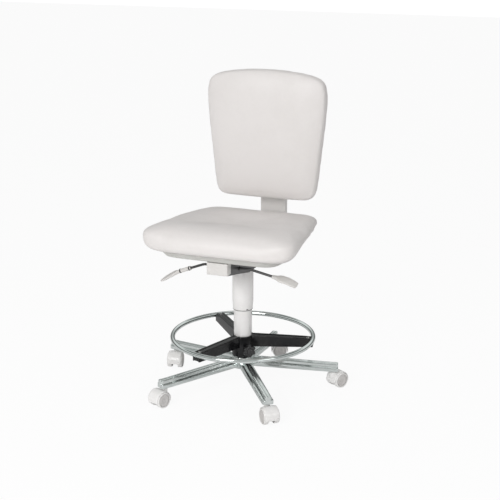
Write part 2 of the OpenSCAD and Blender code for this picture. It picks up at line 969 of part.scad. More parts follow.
// Steel arm: a flat bar from the pivot back under the seat, bent up behind the back
module back_arm() {
  low = pivot_z - back_arm_t / 2;
  bend_y = bar_y + back_arm_t / 2 - bar_bend_r;
  bend_z = low + bar_bend_r;
  color("dimgray")
    difference() {
      union() {
        swept_across(back_arm_w) {
          translate([pivot_y, low]) square([bend_y - pivot_y, back_arm_t]);
          translate([bend_y, bend_z])
            intersection() {
              difference() {
                circle(r = bar_bend_r);
                circle(r = bar_bend_r - back_arm_t);
              }
              translate([0, -bar_bend_r]) square(bar_bend_r);
            }
          translate([bar_y - back_arm_t / 2, bend_z])
            square([back_arm_t, upright_top_z - 4 - bend_z]);
        }
        translate([-half_box + box_wall + free_gap, pivot_y, pivot_z])
          along_x() cylinder(h = box_w - 2 * box_wall - 2 * free_gap, r = eye_r - 1);
      }
      translate([-box_w, pivot_y, pivot_z])
        along_x() cylinder(h = 2 * box_w, r = pivot_d / 2 + run_gap);
    }
}

// Plastic box over the upright part of the arm, with a slot for the bar and two hollows
module upright_cover() {
  wall = 3;
  hollow_w = (upright_w - back_arm_w) / 2 - 2 * wall;
  height = upright_top_z - upright_low_z;
  color("gainsboro")
    translate([0, bar_y, upright_low_z])
      difference() {
        centred_box([upright_w, upright_t, height]);
        translate([0, 0, -eps])
          centred_box([back_arm_w + 0.2, back_arm_t + 0.2, height - wall]);
        for (side = [-1, 1])
          translate([side * (upright_w / 2 - wall - hollow_w / 2), 0, -eps])
            centred_box([hollow_w, upright_t - 2 * wall, height - wall]);
      }
}

// Carriage that holds the back and rides up and down on the upright
module back_carriage() {
  slot_w = upright_w + 2 * free_gap;
  outer_w = slot_w + 2 * carriage_wall;
  sleeve_y = upright_y - free_gap - carriage_wall;
  rear_y = upright_y + upright_t + free_gap + carriage_wall;
  rib_t = 7;
  color("dimgray")
    difference() {
      translate([-outer_w / 2, shell_rear_y, carriage_low_z])
        cube([outer_w, rear_y - shell_rear_y, carriage_h]);
      translate([-slot_w / 2, upright_y - free_gap, carriage_low_z - eps])
        cube([slot_w, upright_t + 2 * free_gap, carriage_h + 2 * eps]);
      translate([rib_t - outer_w / 2, shell_rear_y + flange_t, carriage_low_z - eps])
        cube([outer_w - 2 * rib_t, sleeve_y - shell_rear_y - flange_t, carriage_h + 2 * eps]);
      back_screw_shanks(shell_rear_y - eps, flange_t + 2 * eps, run_gap);
    }
}

// Four screws from the carriage's front plate into the back board
module back_screws() {
  color("dimgray") {
    back_screw_shanks(shell_front_y + 4, shell_rear_y + flange_t - shell_front_y - 4, 0);
    back_screw_shanks(shell_rear_y + flange_t, 2.5, 2);
  }
}

module back_screw_shanks(front_y, length, gap) {
  for (x = [-1, 1])
    for (z = [-1, 1])
      translate([x * back_screw_x, front_y + length,
                 carriage_low_z + carriage_h / 2 + z * back_screw_z])
        rotate([90, 0, 0]) cylinder(h = length, r = screw_d / 2 + gap);
}

base_hub();
base_arm(0);  // base_arm_1
base_arm(1);  // base_arm_2
base_arm(2);  // base_arm_3
base_arm(3);  // base_arm_4
base_arm(4);  // base_arm_5
castor_stems();
castor_hood(0);  // castor_hood_1
castor_hood(1);  // castor_hood_2
castor_hood(2);  // castor_hood_3
castor_hood(3);  // castor_hood_4
castor_hood(4);  // castor_hood_5
castor_axle(0);  // castor_axle_1
castor_axle(1);  // castor_axle_2
castor_axle(2);  // castor_axle_3
castor_axle(3);  // castor_axle_4
castor_axle(4);  // castor_axle_5
castor_wheel(0, -1);  // wheel_1_left
castor_wheel(1, -1);  // wheel_2_left
castor_wheel(2, -1);  // wheel_3_left
castor_wheel(3, -1);  // wheel_4_left
castor_wheel(4, -1);  // wheel_5_left
castor_wheel(0, 1);  // wheel_1_right
castor_wheel(1, 1);  // wheel_2_right
castor_wheel(2, 1);  // wheel_3_right
castor_wheel(3, 1);  // wheel_4_right
castor_wheel(4, 1);  // wheel_5_right
stand_tube();
column_sleeve();
guide_bush();
thrust_bearing();
piston_rod();
retaining_clip();
gas_cylinder();
release_pin();
middle_cover();
upper_cover();
foot_ring();
ring_spider();
ring_screws();
clamp_screw();
star_knob();
mechanism_housing();
front_cap();
pivot_pin();
height_lever();
height_paddle();
tilt_lever();
tilt_paddle();
back_arm();
upright_cover();
back_carriage();
seat_pan();
seat_board();
seat_cushion();
seat_bolts();
back_board();
back_shell();
back_cushion();
back_screws();
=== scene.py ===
"""Drafting chair: the visible pieces and their finishes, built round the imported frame."""

from __future__ import annotations

import logging
import math
from dataclasses import dataclass
from enum import Enum
from typing import Callable, Sequence

import bmesh
import bpy
from mathutils import Matrix, Vector

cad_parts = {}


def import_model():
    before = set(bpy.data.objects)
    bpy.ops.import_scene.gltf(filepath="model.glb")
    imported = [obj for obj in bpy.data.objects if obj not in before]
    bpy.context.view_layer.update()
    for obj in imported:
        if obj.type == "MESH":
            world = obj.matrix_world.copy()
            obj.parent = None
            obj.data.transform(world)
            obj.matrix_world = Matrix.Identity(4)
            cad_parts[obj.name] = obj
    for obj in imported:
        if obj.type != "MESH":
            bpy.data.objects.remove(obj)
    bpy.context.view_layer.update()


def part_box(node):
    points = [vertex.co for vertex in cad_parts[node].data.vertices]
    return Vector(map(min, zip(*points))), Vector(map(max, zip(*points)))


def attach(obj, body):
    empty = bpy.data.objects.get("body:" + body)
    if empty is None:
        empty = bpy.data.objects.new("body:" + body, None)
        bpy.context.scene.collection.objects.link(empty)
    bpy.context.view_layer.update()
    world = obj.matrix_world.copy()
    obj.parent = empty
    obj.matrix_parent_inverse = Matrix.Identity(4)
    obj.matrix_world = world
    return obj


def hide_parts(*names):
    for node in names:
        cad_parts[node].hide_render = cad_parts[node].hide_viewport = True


MM = 0.001
BASE_ARMS = 5
SPIDER_ARMS = 3
CLOTH_GRID = 0.006
CLOTH_FRAMES = 20
AIR_PRESSURE = 4.0
SPREAD_ROUNDS = 45
EVEN_ROUNDS = 4
log = logging.getLogger("drafting_chair")

Colour = tuple[float, float, float]
Flat = tuple[float, float]
Ring = Callable[[float], Vector]


# ---- Small sums ----


def mix(a: float, b: float, share: float) -> float:
    """Returns the value a share of the way from a to b."""
    return a + (b - a) * share


def ease(low: float, high: float, x: float) -> float:
    """Returns 0 below low, 1 above high and a smooth rise between them."""
    t = min(1.0, max(0.0, (x - low) / (high - low)))
    return t * t * (3 - 2 * t)


def squircle(share: float, half_a: float, half_b: float, square: float) -> Flat:
    """A point on a rounded rectangle.

    Args:
        share: how far round the outline, from 0 to 1.
        half_a: half the width.
        half_b: half the height.
        square: 2 for an ellipse, more for squarer corners.

    Returns:
        The point's two coordinates.
    """
    across, up = math.cos(2 * math.pi * share), math.sin(2 * math.pi * share)
    size = (abs(across) ** square + abs(up) ** square) ** (-1 / square)
    return half_a * across * size, half_b * up * size


def rounded(points: Sequence[tuple[float, float, float]], steps: int = 3) -> list[Flat]:
    """Rounds the corners of a closed outline.

    Args:
        points: corners as (a, b, radius).
        steps: points along each rounded corner, less one.

    Returns:
        The outline's points.
    """
    out: list[Flat] = []
    count = len(points)
    for i, (a, b, radius) in enumerate(points):
        here = Vector((a, b))
        if radius <= 0:
            out.append((a, b))
            continue
        before = Vector(points[i - 1][:2]) - here
        after = Vector(points[(i + 1) % count][:2]) - here
        radius = min(radius, before.length * 0.49, after.length * 0.49)
        start = here + before.normalized() * radius
        end = here + after.normalized() * radius
        for k in range(steps + 1):
            t = k / steps
            p = start * (1 - t) ** 2 + here * 2 * t * (1 - t) + end * t * t
            out.append((p.x, p.y))
    return out


# ---- Shapes ----


class Shape:
    """A mesh under construction, in millimetres."""

    def __init__(self) -> None:
        """Starts with an empty mesh."""
        self.bm = bmesh.new()

    @classmethod
    def turned(cls, profile: Sequence[Flat], steps: int = 64, closed: bool = True) -> "Shape":
        """Turns a profile about the Z axis.

        Args:
            profile: points as (radius, height).
            steps: steps in the full turn.
            closed: whether the last point joins the first.

        Returns:
            The turned shape.
        """
        shape = cls()
        bm = shape.bm
        verts = [bm.verts.new((r, 0, z)) for r, z in profile]
        pairs = list(zip(verts, verts[1:]))
        if closed:
            pairs.append((verts[-1], verts[0]))
        edges = [bm.edges.new(pair) for pair in pairs]
        bmesh.ops.spin(
            bm, geom=[*verts, *edges], cent=(0, 0, 0), axis=(0, 0, 1), dvec=(0, 0, 0),
            angle=2 * math.pi, steps=steps, use_merge=True, use_duplicate=False,
        )
        return shape.closed_up()

    @classmethod
    def lofted(cls, rings: Sequence[Ring], segments: int, caps: bool = True) -> "Shape":
        """Skins a row of rings, each the last one's edge extruded and moved.

        Args:
            rings: each gives a point for a share of the way round.
            segments: points round each ring.
            caps: whether the first and last rings are closed with a face.

        Returns:
            The lofted shape.
        """
        shape = cls()
        bm = shape.bm
        made = bmesh.ops.create_circle(bm, cap_ends=False, radius=1, segments=segments)
        row = sorted(made["verts"], key=lambda v: math.atan2(v.co.y, v.co.x) % (2 * math.pi))
        shares = [i / segments for i in range(segments)]
        edges = list(bm.edges)
        if caps:
            bmesh.ops.contextual_create(bm, geom=edges)
        for vert, share in zip(row, shares):
            vert.co = rings[0](share)
        for ring in rings[1:]:
            known = set(row)
            new = bmesh.ops.extrude_edge_only(bm, edges=edges)["geom"]
            fresh = {g for g in new if isinstance(g, bmesh.types.BMVert)} - known
            edges = [g for g in new if isinstance(g, bmesh.types.BMEdge)
                     and g.verts[0] in fresh and g.verts[1] in fresh]
            row = [next(e.other_vert(v) for e in v.link_edges if e.other_vert(v) in fresh)
                   for v in row]
            for vert, share in zip(row, shares):
                vert.co = ring(share)
        if caps:
            bmesh.ops.contextual_create(bm, geom=edges)
        return shape.closed_up()

    @classmethod
    def through(cls, cuts: Sequence[Sequence[Vector]]) -> "Shape":
        """Skins a row of cuts that all have the same number of points.

        Args:
            cuts: each cut's points, in order.

        Returns:
            The skinned shape.
        """
        count = len(cuts[0])
        rings = [(lambda share, cut=cut: cut[round(share * count) % count]) for cut in cuts]
        return cls.lofted(rings, count)

    @classmethod
    def block(cls, low: Vector, high: Vector, edge: float, segments: int = 3) -> "Shape":
        """A box with rounded edges.

        Args:
            low: its lowest corner.
            high: its highest corner.
            edge: the edges' rounding radius.
            segments: facets along each rounded edge.

        Returns:
            The box.
        """
        shape = cls()
        bmesh.ops.create_cube(shape.bm, size=1)
        size = high - low
        bmesh.ops.scale(shape.bm, vec=size, verts=shape.bm.verts)
        bmesh.ops.translate(shape.bm, vec=(low + high) / 2, verts=shape.bm.verts)
        bmesh.ops.bevel(
            shape.bm, geom=list(shape.bm.edges), offset=edge, offset_type="OFFSET",
            segments=segments, profile=0.5, affect="EDGES", material=-1, clamp_overlap=True,
        )
        return shape

    def closed_up(self) -> "Shape":
        """Merges doubled points and turns every face outwards."""
        bmesh.ops.remove_doubles(self.bm, verts=self.bm.verts, dist=1e-4)
        bmesh.ops.dissolve_degenerate(self.bm, edges=self.bm.edges, dist=1e-5)
        bmesh.ops.recalc_face_normals(self.bm, faces=self.bm.faces)
        return self

    def put(self, matrix: Matrix) -> "Shape":
        """Moves the shape by a matrix in millimetres."""
        bmesh.ops.transform(self.bm, matrix=matrix, verts=self.bm.verts)
        return self

    def with_part(self, other: "Shape") -> "Shape":
        """Adds another shape's mesh to this one and frees it."""
        spare = bpy.data.meshes.new("spare")
        other.bm.to_mesh(spare)
        other.bm.free()
        self.bm.from_mesh(spare)
        bpy.data.meshes.remove(spare)
        return self

    def piece(
        self, name: str, body: str, finish: "Finish", replaces: Sequence[str] = (),
        crease: float = 38.0,
    ) -> bpy.types.Object:
        """Makes the shape a finished object that rides on a body.

        Args:
            name: the object's name.
            body: the CAD body that it rides on.
            finish: its surface finish.
            replaces: the CAD nodes that it stands for.
            crease: edges sharper than this many degrees stay sharp.

        Returns:
            The object.
        """
        bm = self.bm
        for face in bm.faces:
            face.smooth = True
        for edge in bm.edges:
            edge.smooth = not edge.is_manifold or edge.calc_face_angle(0) < math.radians(crease)
        bmesh.ops.scale(bm, vec=(MM, MM, MM), verts=bm.verts)
        mesh = bpy.data.meshes.new(name)
        bm.to_mesh(mesh)
        bm.free()
        obj = bpy.data.objects.new(name, mesh)
        bpy.context.scene.collection.objects.link(obj)
        settle(obj, body, finish, replaces)
        return obj


def settle(
    obj: bpy.types.Object, body: str, finish: "Finish", replaces: Sequence[str] = ()
) -> None:
    """Gives an object its finish and its place in the chair.

    Args:
        obj: the object.
        body: the CAD body that it rides on.
        finish: its surface finish.
        replaces: the CAD nodes that it stands for.
    """
    obj.data.materials.clear()
    obj.data.materials.append(finish.material())
    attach(obj, body)
    if replaces:
        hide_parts(*replaces)
    log.info("%s on %s, %s faces", obj.name, body, len(obj.data.polygons))


def turn_z(degrees: float) -> Matrix:
    """Returns a turn about the Z axis."""
    return Matrix.Rotation(math.radians(degrees), 4, "Z")


def along_x() -> Matrix:
    """Returns the turn that lays the Z axis along X."""
    return Matrix.Rotation(math.radians(90), 4, "Y")


def shift(x: float, y: float, z: float) -> Matrix:
    """Returns a move in millimetres."""
    return Matrix.Translation((x, y, z))


# ---- Finishes ----


class Relief(Enum):
    """The fine relief of a surface."""

    GRAIN = "leather grain"
    PEEL = "orange peel"
    SPARK = "spark-eroded mould texture"
    SCRATCH = "fine polishing lines"
    WOOD = "wood grain"


def group_of(
    name: str, output: str, kind: str
) -> tuple[bpy.types.NodeTree, bpy.types.Node, bpy.types.Node]:
    """Starts a node group with one output.

    Args:
        name: the group's name.
        output: the output socket's name.
        kind: the output socket's type.

    Returns:
        The group, its Object coordinates and its output node.
    """
    tree = bpy.data.node_groups.new(name, "ShaderNodeTree")
    tree.interface.new_socket(name=output, in_out="OUTPUT", socket_type=kind)
    coords = tree.nodes.new("ShaderNodeTexCoord")
    out = tree.nodes.new("NodeGroupOutput")
    return tree, coords, out


def noise_node(
    tree: bpy.types.NodeTree, coords: bpy.types.NodeSocket, scale: float, detail: float = 3.0,
    rough: float = 0.5,
) -> bpy.types.Node:
    """Adds a noise texture.

    Args:
        tree: the node tree.
        coords: the coordinates that it reads.
        scale: its scale.
        detail: its octaves.
        rough: how strong the finer octaves are.

    Returns:
        The node.
    """
    node = tree.nodes.new("ShaderNodeTexNoise")
    node.inputs["Scale"].default_value = scale
    node.inputs["Detail"].default_value = detail
    node.inputs["Roughness"].default_value = rough
    tree.links.new(coords, node.inputs["Vector"])
    return node


def remap(
    tree: bpy.types.NodeTree, source: bpy.types.NodeSocket, low: float, high: float,
    to_low: float, to_high: float,
) -> bpy.types.NodeSocket:
    """Maps a value's range to another, smoothly.

    Args:
        tree: the node tree.
        source: the value.
        low: the value that gives to_low.
        high: the value that gives to_high.
        to_low: the lowest result.
        to_high: the highest result.

    Returns:
        The mapped value's socket.
    """
    node = tree.nodes.new("ShaderNodeMapRange")
    node.interpolation_type = "SMOOTHSTEP"
    for socket, value in zip(("From Min", "From Max", "To Min", "To Max"),
                             (low, high, to_low, to_high)):
        node.inputs[socket].default_value = value
    tree.links.new(source, node.inputs["Value"])
    return node.outputs["Result"]


def sum_of(
    tree: bpy.types.NodeTree, a: bpy.types.NodeSocket, b: bpy.types.NodeSocket, share: float
) -> bpy.types.NodeSocket:
    """Returns a plus a share of b."""
    node = tree.nodes.new("ShaderNodeMath")
    node.operation = "MULTIPLY_ADD"
    node.inputs[1].default_value = share
    tree.links.new(b, node.inputs[0])
    tree.links.new(a, node.inputs[2])
    return node.outputs[0]


def relief_group(relief: Relief) -> bpy.types.NodeTree:
    """Returns the shared node group that gives a relief's height, made once.

    Args:
        relief: which relief.

    Returns:
        The group, with one output named Height.
    """
    name = "relief_" + relief.name.lower()
    if name in bpy.data.node_groups:
        return bpy.data.node_groups[name]
    tree, coords, out = group_of(name, "Height", "NodeSocketFloat")
    place = coords.outputs["Object"]
    if relief is Relief.GRAIN:
        cells = tree.nodes.new("ShaderNodeTexVoronoi")
        cells.feature = "SMOOTH_F1"
        cells.inputs["Scale"].default_value = 620.0
        cells.inputs["Smoothness"].default_value = 0.35
        tree.links.new(place, cells.inputs["Vector"])
        pores = noise_node(tree, place, 1500.0, 2.0)
        waves = noise_node(tree, place, 26.0, 2.0)
        fine = sum_of(tree, cells.outputs["Distance"], pores.outputs["Fac"], 0.35)
        height = sum_of(tree, fine, waves.outputs["Fac"], 0.9)
    elif relief is Relief.PEEL:
        skin = noise_node(tree, place, 240.0, 2.0)
        swell = noise_node(tree, place, 55.0, 1.0)
        height = sum_of(tree, skin.outputs["Fac"], swell.outputs["Fac"], 1.2)
    elif relief is Relief.SPARK:
        sand = noise_node(tree, place, 1900.0, 3.0, 0.65)
        swell = noise_node(tree, place, 70.0, 1.0)
        height = sum_of(tree, sand.outputs["Fac"], swell.outputs["Fac"], 0.5)
    elif relief is Relief.SCRATCH:
        lay = tree.nodes.new("ShaderNodeMapping")
        lay.inputs["Rotation"].default_value = (0.3, 0.9, 0.5)
        lay.inputs["Scale"].default_value = (1.0, 0.03, 0.6)
        tree.links.new(place, lay.inputs["Vector"])
        lines = noise_node(tree, lay.outputs["Vector"], 1400.0, 3.0, 0.7)
        swell = noise_node(tree, place, 34.0, 1.0)
        height = sum_of(tree, lines.outputs["Fac"], swell.outputs["Fac"], 1.5)
    else:
        lay = tree.nodes.new("ShaderNodeMapping")
        lay.inputs["Scale"].default_value = (0.06, 1.0, 1.6)
        tree.links.new(place, lay.inputs["Vector"])
        rings = noise_node(tree, lay.outputs["Vector"], 260.0, 5.0, 0.6)
        fibres = noise_node(tree, lay.outputs["Vector"], 1700.0, 2.0)
        height = sum_of(tree, rings.outputs["Fac"], fibres.outputs["Fac"], 0.4)
    tree.links.new(height, out.inputs["Height"])
    return tree


def wear_group() -> bpy.types.NodeTree:
    """Returns the shared node group that gives edge wear, made once: 1 on worn, sharp edges."""
    name = "edge_wear"
    if name in bpy.data.node_groups:
        return bpy.data.node_groups[name]
    tree, coords, out = group_of(name, "Wear", "NodeSocketFloat")
    round_over = tree.nodes.new("ShaderNodeBevel")
    round_over.samples = 4
    round_over.inputs["Radius"].default_value = 0.0014
    face = tree.nodes.new("ShaderNodeNewGeometry")
    dot = tree.nodes.new("ShaderNodeVectorMath")
    dot.operation = "DOT_PRODUCT"
    tree.links.new(round_over.outputs["Normal"], dot.inputs[0])
    tree.links.new(face.outputs["Normal"], dot.inputs[1])
    edge = remap(tree, dot.outputs["Value"], 0.97, 0.8, 0.0, 1.0)
    patches = noise_node(tree, coords.outputs["Object"], 130.0, 4.0, 0.65)
    spots = remap(tree, patches.outputs["Fac"], 0.5, 0.68, 0.0, 1.0)
    both = tree.nodes.new("ShaderNodeMath")
    both.operation = "MULTIPLY"
    tree.links.new(edge, both.inputs[0])
    tree.links.new(spots, both.inputs[1])
    tree.links.new(both.outputs[0], out.inputs["Wear"])
    return tree


def soil_group() -> bpy.types.NodeTree:
    """Returns the shared node group that gives faint soiling in broad clouds, made once."""
    name = "soiling"
    if name in bpy.data.node_groups:
        return bpy.data.node_groups[name]
    tree, coords, out = group_of(name, "Soil", "NodeSocketFloat")
    clouds = noise_node(tree, coords.outputs["Object"], 9.0, 4.0, 0.6)
    specks = noise_node(tree, coords.outputs["Object"], 90.0, 3.0, 0.6)
    both = sum_of(tree, clouds.outputs["Fac"], specks.outputs["Fac"], 0.3)
    tree.links.new(remap(tree, both, 0.5, 0.9, 0.0, 1.0), out.inputs["Soil"])
    return tree


@dataclass(frozen=True)
class Finish:
    """A surface finish and the numbers that make its material."""

    name: str
    slot: str
    tone: Colour
    soil: Colour
    rough: Flat
    relief: Relief
    depth: float
    metal: float = 0.0
    coat: float = 0.0
    sheen: float = 0.0
    worn: Colour | None = None
    rounding: float = 0.0
    specular: float = 0.5

    def material(self) -> bpy.types.Material:
        """Returns this finish's material, made once."""
        name = f"{self.name}_finish"
        if name in bpy.data.materials:
            return bpy.data.materials[name]
        material = bpy.data.materials.new(name)
        material.use_nodes = True
        tree = material.node_tree
        shader = tree.nodes["Principled BSDF"]
        for socket, value in (
            ("Metallic", self.metal), ("Coat Weight", self.coat), ("Coat Roughness", 0.05),
            ("Sheen Weight", self.sheen), ("Specular IOR Level", self.specular),
        ):
            shader.inputs[socket].default_value = value
        soil = self.group(tree, soil_group())
        colour = self.blend(tree, soil.outputs["Soil"], self.tone, self.soil)
        relief = self.group(tree, relief_group(self.relief))
        roughness = remap(tree, soil.outputs["Soil"], 0.0, 1.0, *self.rough)
        if self.worn is not None:
            wear = self.group(tree, wear_group()).outputs["Wear"]
            colour = self.blend(tree, wear, colour, self.worn)
        tree.links.new(colour, shader.inputs["Base Color"])
        tree.links.new(roughness, shader.inputs["Roughness"])
        bump = tree.nodes.new("ShaderNodeBump")
        bump.inputs["Strength"].default_value = 1.0
        bump.inputs["Distance"].default_value = self.depth
        tree.links.new(relief.outputs["Height"], bump.inputs["Height"])
        if self.rounding > 0:
            edge = tree.nodes.new("ShaderNodeBevel")
            edge.samples = 4
            edge.inputs["Radius"].default_value = self.rounding
            tree.links.new(edge.outputs["Normal"], bump.inputs["Normal"])
        tree.links.new(bump.outputs["Normal"], shader.inputs["Normal"])
        return material

    @staticmethod
    def group(tree: bpy.types.NodeTree, made: bpy.types.NodeTree) -> bpy.types.Node:
        """Adds a node group to a material and returns its node."""
        node = tree.nodes.new("ShaderNodeGroup")
        node.node_tree = made
        return node

    @staticmethod
    def blend(
        tree: bpy.types.NodeTree, share: bpy.types.NodeSocket,
        low: Colour | bpy.types.NodeSocket, high: Colour,
    ) -> bpy.types.NodeSocket:
        """Mixes two colours by a varying share.

        Args:
            tree: the node tree.
            share: 0 for low and 1 for high.
            low: a colour or a colour socket.
            high: a colour.

        Returns:
            The mixed colour's socket.
        """
        node = tree.nodes.new("ShaderNodeMix")
        node.data_type = "RGBA"
        tree.links.new(share, node.inputs["Factor"])
        if isinstance(low, tuple):
            node.inputs["A"].default_value = (*low, 1.0)
        else:
            tree.links.new(low, node.inputs["A"])
        node.inputs["B"].default_value = (*high, 1.0)
        return node.outputs["Result"]

    def on_nodes(self, *nodes: str) -> None:
        """Gives CAD nodes that stay visible this finish."""
        for name in nodes:
            obj = bpy.data.objects[name]
            obj.data.materials.clear()
            obj.data.materials.append(self.material())


VINYL = Finish("vinyl", "vinyl", (0.755, 0.725, 0.71), (0.73, 0.70, 0.683), (0.42, 0.55),
               Relief.GRAIN, 0.00011, sheen=0.12)
PAN = Finish("seat_pan_plastic", "light_plastic", (0.60, 0.595, 0.565), (0.55, 0.54, 0.515),
             (0.38, 0.5), Relief.SPARK, 0.00008)
GLOSS_WHITE = Finish("column_white", "white_plastic", (0.91, 0.895, 0.885), (0.86, 0.84, 0.83),
                     (0.16, 0.3), Relief.PEEL, 0.00006, coat=0.4)
LIGHT_GREY = Finish("light_grey_plastic", "light_plastic", (0.71, 0.69, 0.67),
                    (0.685, 0.665, 0.645), (0.34, 0.48), Relief.SPARK, 0.00008, rounding=0.0012)
CASTOR_WHITE = Finish("castor_white", "white_plastic", (0.91, 0.90, 0.89), (0.8, 0.785, 0.77),
                      (0.2, 0.42), Relief.PEEL, 0.00006, coat=0.2)
WHEEL_GREY = Finish("wheel_nylon", "wheel_plastic", (0.66, 0.64, 0.63), (0.54, 0.52, 0.5),
                    (0.32, 0.55), Relief.SPARK, 0.0001)
CHROME = Finish("chrome", "chrome", (0.74, 0.78, 0.77), (0.64, 0.68, 0.67), (0.05, 0.13),
                Relief.SCRATCH, 0.00001, metal=1.0)
ZINC = Finish("zinc_steel", "steel", (0.56, 0.56, 0.55), (0.42, 0.42, 0.41), (0.25, 0.42),
              Relief.SCRATCH, 0.00003, metal=1.0, rounding=0.0006)
DARK_STEEL = Finish("dark_steel", "dark_steel", (0.075, 0.075, 0.078), (0.12, 0.115, 0.11),
                    (0.28, 0.45), Relief.PEEL, 0.00005, metal=0.5, worn=(0.3, 0.3, 0.3),
                    rounding=0.0012)
BLACK_PAINT = Finish("gloss_black_paint", "black_paint", (0.008, 0.008, 0.009),
                     (0.02, 0.019, 0.018), (0.16, 0.3), Relief.PEEL, 0.00006,
                     worn=(0.12, 0.12, 0.12), specular=0.3)
BLACK_PLASTIC = Finish("black_plastic", "black_plastic", (0.016, 0.016, 0.017),
                       (0.035, 0.034, 0.033), (0.16, 0.32), Relief.SPARK, 0.00004, coat=0.3)
PLYWOOD = Finish("plywood", "plywood", (0.56, 0.40, 0.25), (0.38, 0.25, 0.14), (0.5, 0.7),
                 Relief.WOOD, 0.0003)


# ---- Base and castors ----


@dataclass
class Castor:
    """One twin-wheel castor, in its own frame: X along the axle, Y the trail, Z up."""

    number: int
    arm_turn: float
    swivel: float
    stem_circle: float = 291.0
    trail: float = 21.0
    axle_z: float = 25.0
    hood_r: float = 29.4
    hood_wall: float = 2.8
    hood_half_w: float = 22.5
    wheel_gap: float = 20.0
    arc: Flat = (-14.0, 194.0)

    def place(self) -> Matrix:
        """Returns the castor's place in the chair."""
        stem = turn_z(self.arm_turn) @ Vector((self.stem_circle, 0, 0))
        return shift(*stem) @ turn_z(self.swivel)

    def wheel(self, side: int) -> Shape:
        """Returns one wheel: a round tread with a recess for its cap.

        Args:
            side: -1 for the wheel on the axle's low side, 1 for the other.

        Returns:
            The wheel in the chair's frame.
        """
        profile = [
            (3.05, 0), (7.0, 0), (7.6, 8.5), (19.6, 8.5), (20.4, 0.4), (22.6, 0),
            (23.9, 0.5), (24.8, 1.6), (25.0, 3.2), (25.0, 11.4), (24.8, 13.0), (24.1, 14.3),
            (23.0, 15.0), (21.3, 15.0), (20.8, 14.6), (20.6, 10.4), (3.05, 10.4),
        ]
        wheel = Shape.turned(profile, 72)
        return wheel.put(self.beside(side))

    def cap(self, side: int) -> Shape:
        """Returns the round cap pressed into the wheel's face, a dark gap round it."""
        profile = [(0, 10.5), (18.8, 10.5), (18.9, 13.4), (18.8, 14.2), (18.1, 14.7), (15.0, 14.9),
                   (6.2, 14.9), (5.4, 14.4), (4.6, 14.4), (4.2, 14.9), (0, 15.0)]
        return Shape.turned(profile, 64).put(self.beside(side))

    def beside(self, side: int) -> Matrix:
        """Returns the place of a wheel's inner face, with Z pointing outwards."""
        turn = Matrix.Rotation(math.radians(90 * side), 4, "Y")
        at_axle = self.place() @ shift(0, self.trail, self.axle_z)
        return at_axle @ turn @ shift(0, 0, self.wheel_gap / 2)

    def hood(self) -> Shape:
        """Returns the hood: a curved cover, its middle web, the stem's hub and axle boss."""
        start, end = self.arc
        mid_r = self.hood_r - self.hood_wall / 2

        def band(k: int, steps: int = 30) -> Ring:
            """Gives the hood's cut at a step round the axle.
            
            Args:
                k: the step.
                steps: steps in all, slimmer at both ends.
            
            Returns:
                The cut as a ring.
            """
            slim = 0.55 if k in (0, steps) else 0.85 if k in (1, steps - 1) else 1.0
            lead = (0, 0.03, *[(i - 1) / (steps - 2) * 0.94 + 0.03 for i in range(2, steps - 1)],
                    0.97, 1)[k]
            angle = math.radians(mix(start, end, lead))

            def point(share: float) -> Vector:
                """Returns the point at a share of the way round."""
                a, b = squircle(share, self.hood_half_w - (1 - slim), self.hood_wall / 2 * slim, 7)
                curl = 0.9 * (abs(a) / self.hood_half_w) ** 6
                r = mid_r + b - curl
                return Vector((a, r * math.cos(angle), r * math.sin(angle)))

            return point

        cover = Shape.lofted([band(k) for k in range(31)], 40)

        def web(x: float, grow: float) -> Ring:
            """Gives the middle web's outline, an arc closed through the axle.
            
            Args:
                x: its place along the axle.
                grow: how much larger its radius is.
            
            Returns:
                The outline as a ring.
            """
            def point(share: float) -> Vector:
                """Returns the point at a share of the way round."""
                if share < 0.7:
                    angle, r = math.radians(mix(start, end, share / 0.7)), mid_r + grow
                else:
                    t = (share - 0.7) / 0.3
                    angle = math.radians(end if t < 0.5 else start)
                    r = (mid_r + grow) * abs(1 - 2 * t)
                return Vector((x, r * math.cos(angle), r * math.sin(angle)))

            return point

        rib = Shape.lofted([web(-4, -0.6), web(-3.4, 0), web(3.4, 0), web(4, -0.6)], 60)
        boss = Shape.turned([(3.05, -9.5), (6.4, -9.5), (7, -8.9), (7, 8.9), (6.4, 9.5),
                             (3.05, 9.5)], 40).put(along_x())
        hub = Shape.turned([(5.6, 38), (9.5, 36), (9.5, 52), (8.9, 53.2), (7.6, 53.9), (5.6, 53.9)],
                           40)
        at_axle = shift(0, self.trail, self.axle_z)
        hood = cover.put(at_axle).with_part(rib.put(at_axle)).with_part(boss.put(at_axle))
        return hood.with_part(hub).put(self.place())

    def build(self) -> None:
        """Builds the castor's hood and wheels and dresses its axle."""
        n = self.number
        body = f"castor_{n}"
        self.hood().piece(f"castor_cover_{n}", body, CASTOR_WHITE, [f"castor_hood_{n}"])
        for side, word in ((-1, "left"), (1, "right")):
            wheel = f"{body}_wheel_{word}"
            self.wheel(side).piece(f"nylon_wheel_{n}_{word}", wheel, CASTOR_WHITE,
                                   [f"wheel_{n}_{word}"])
            self.cap(side).piece(f"wheel_cap_{n}_{word}", wheel, WHEEL_GREY)
        ZINC.on_nodes(f"castor_axle_{n}")


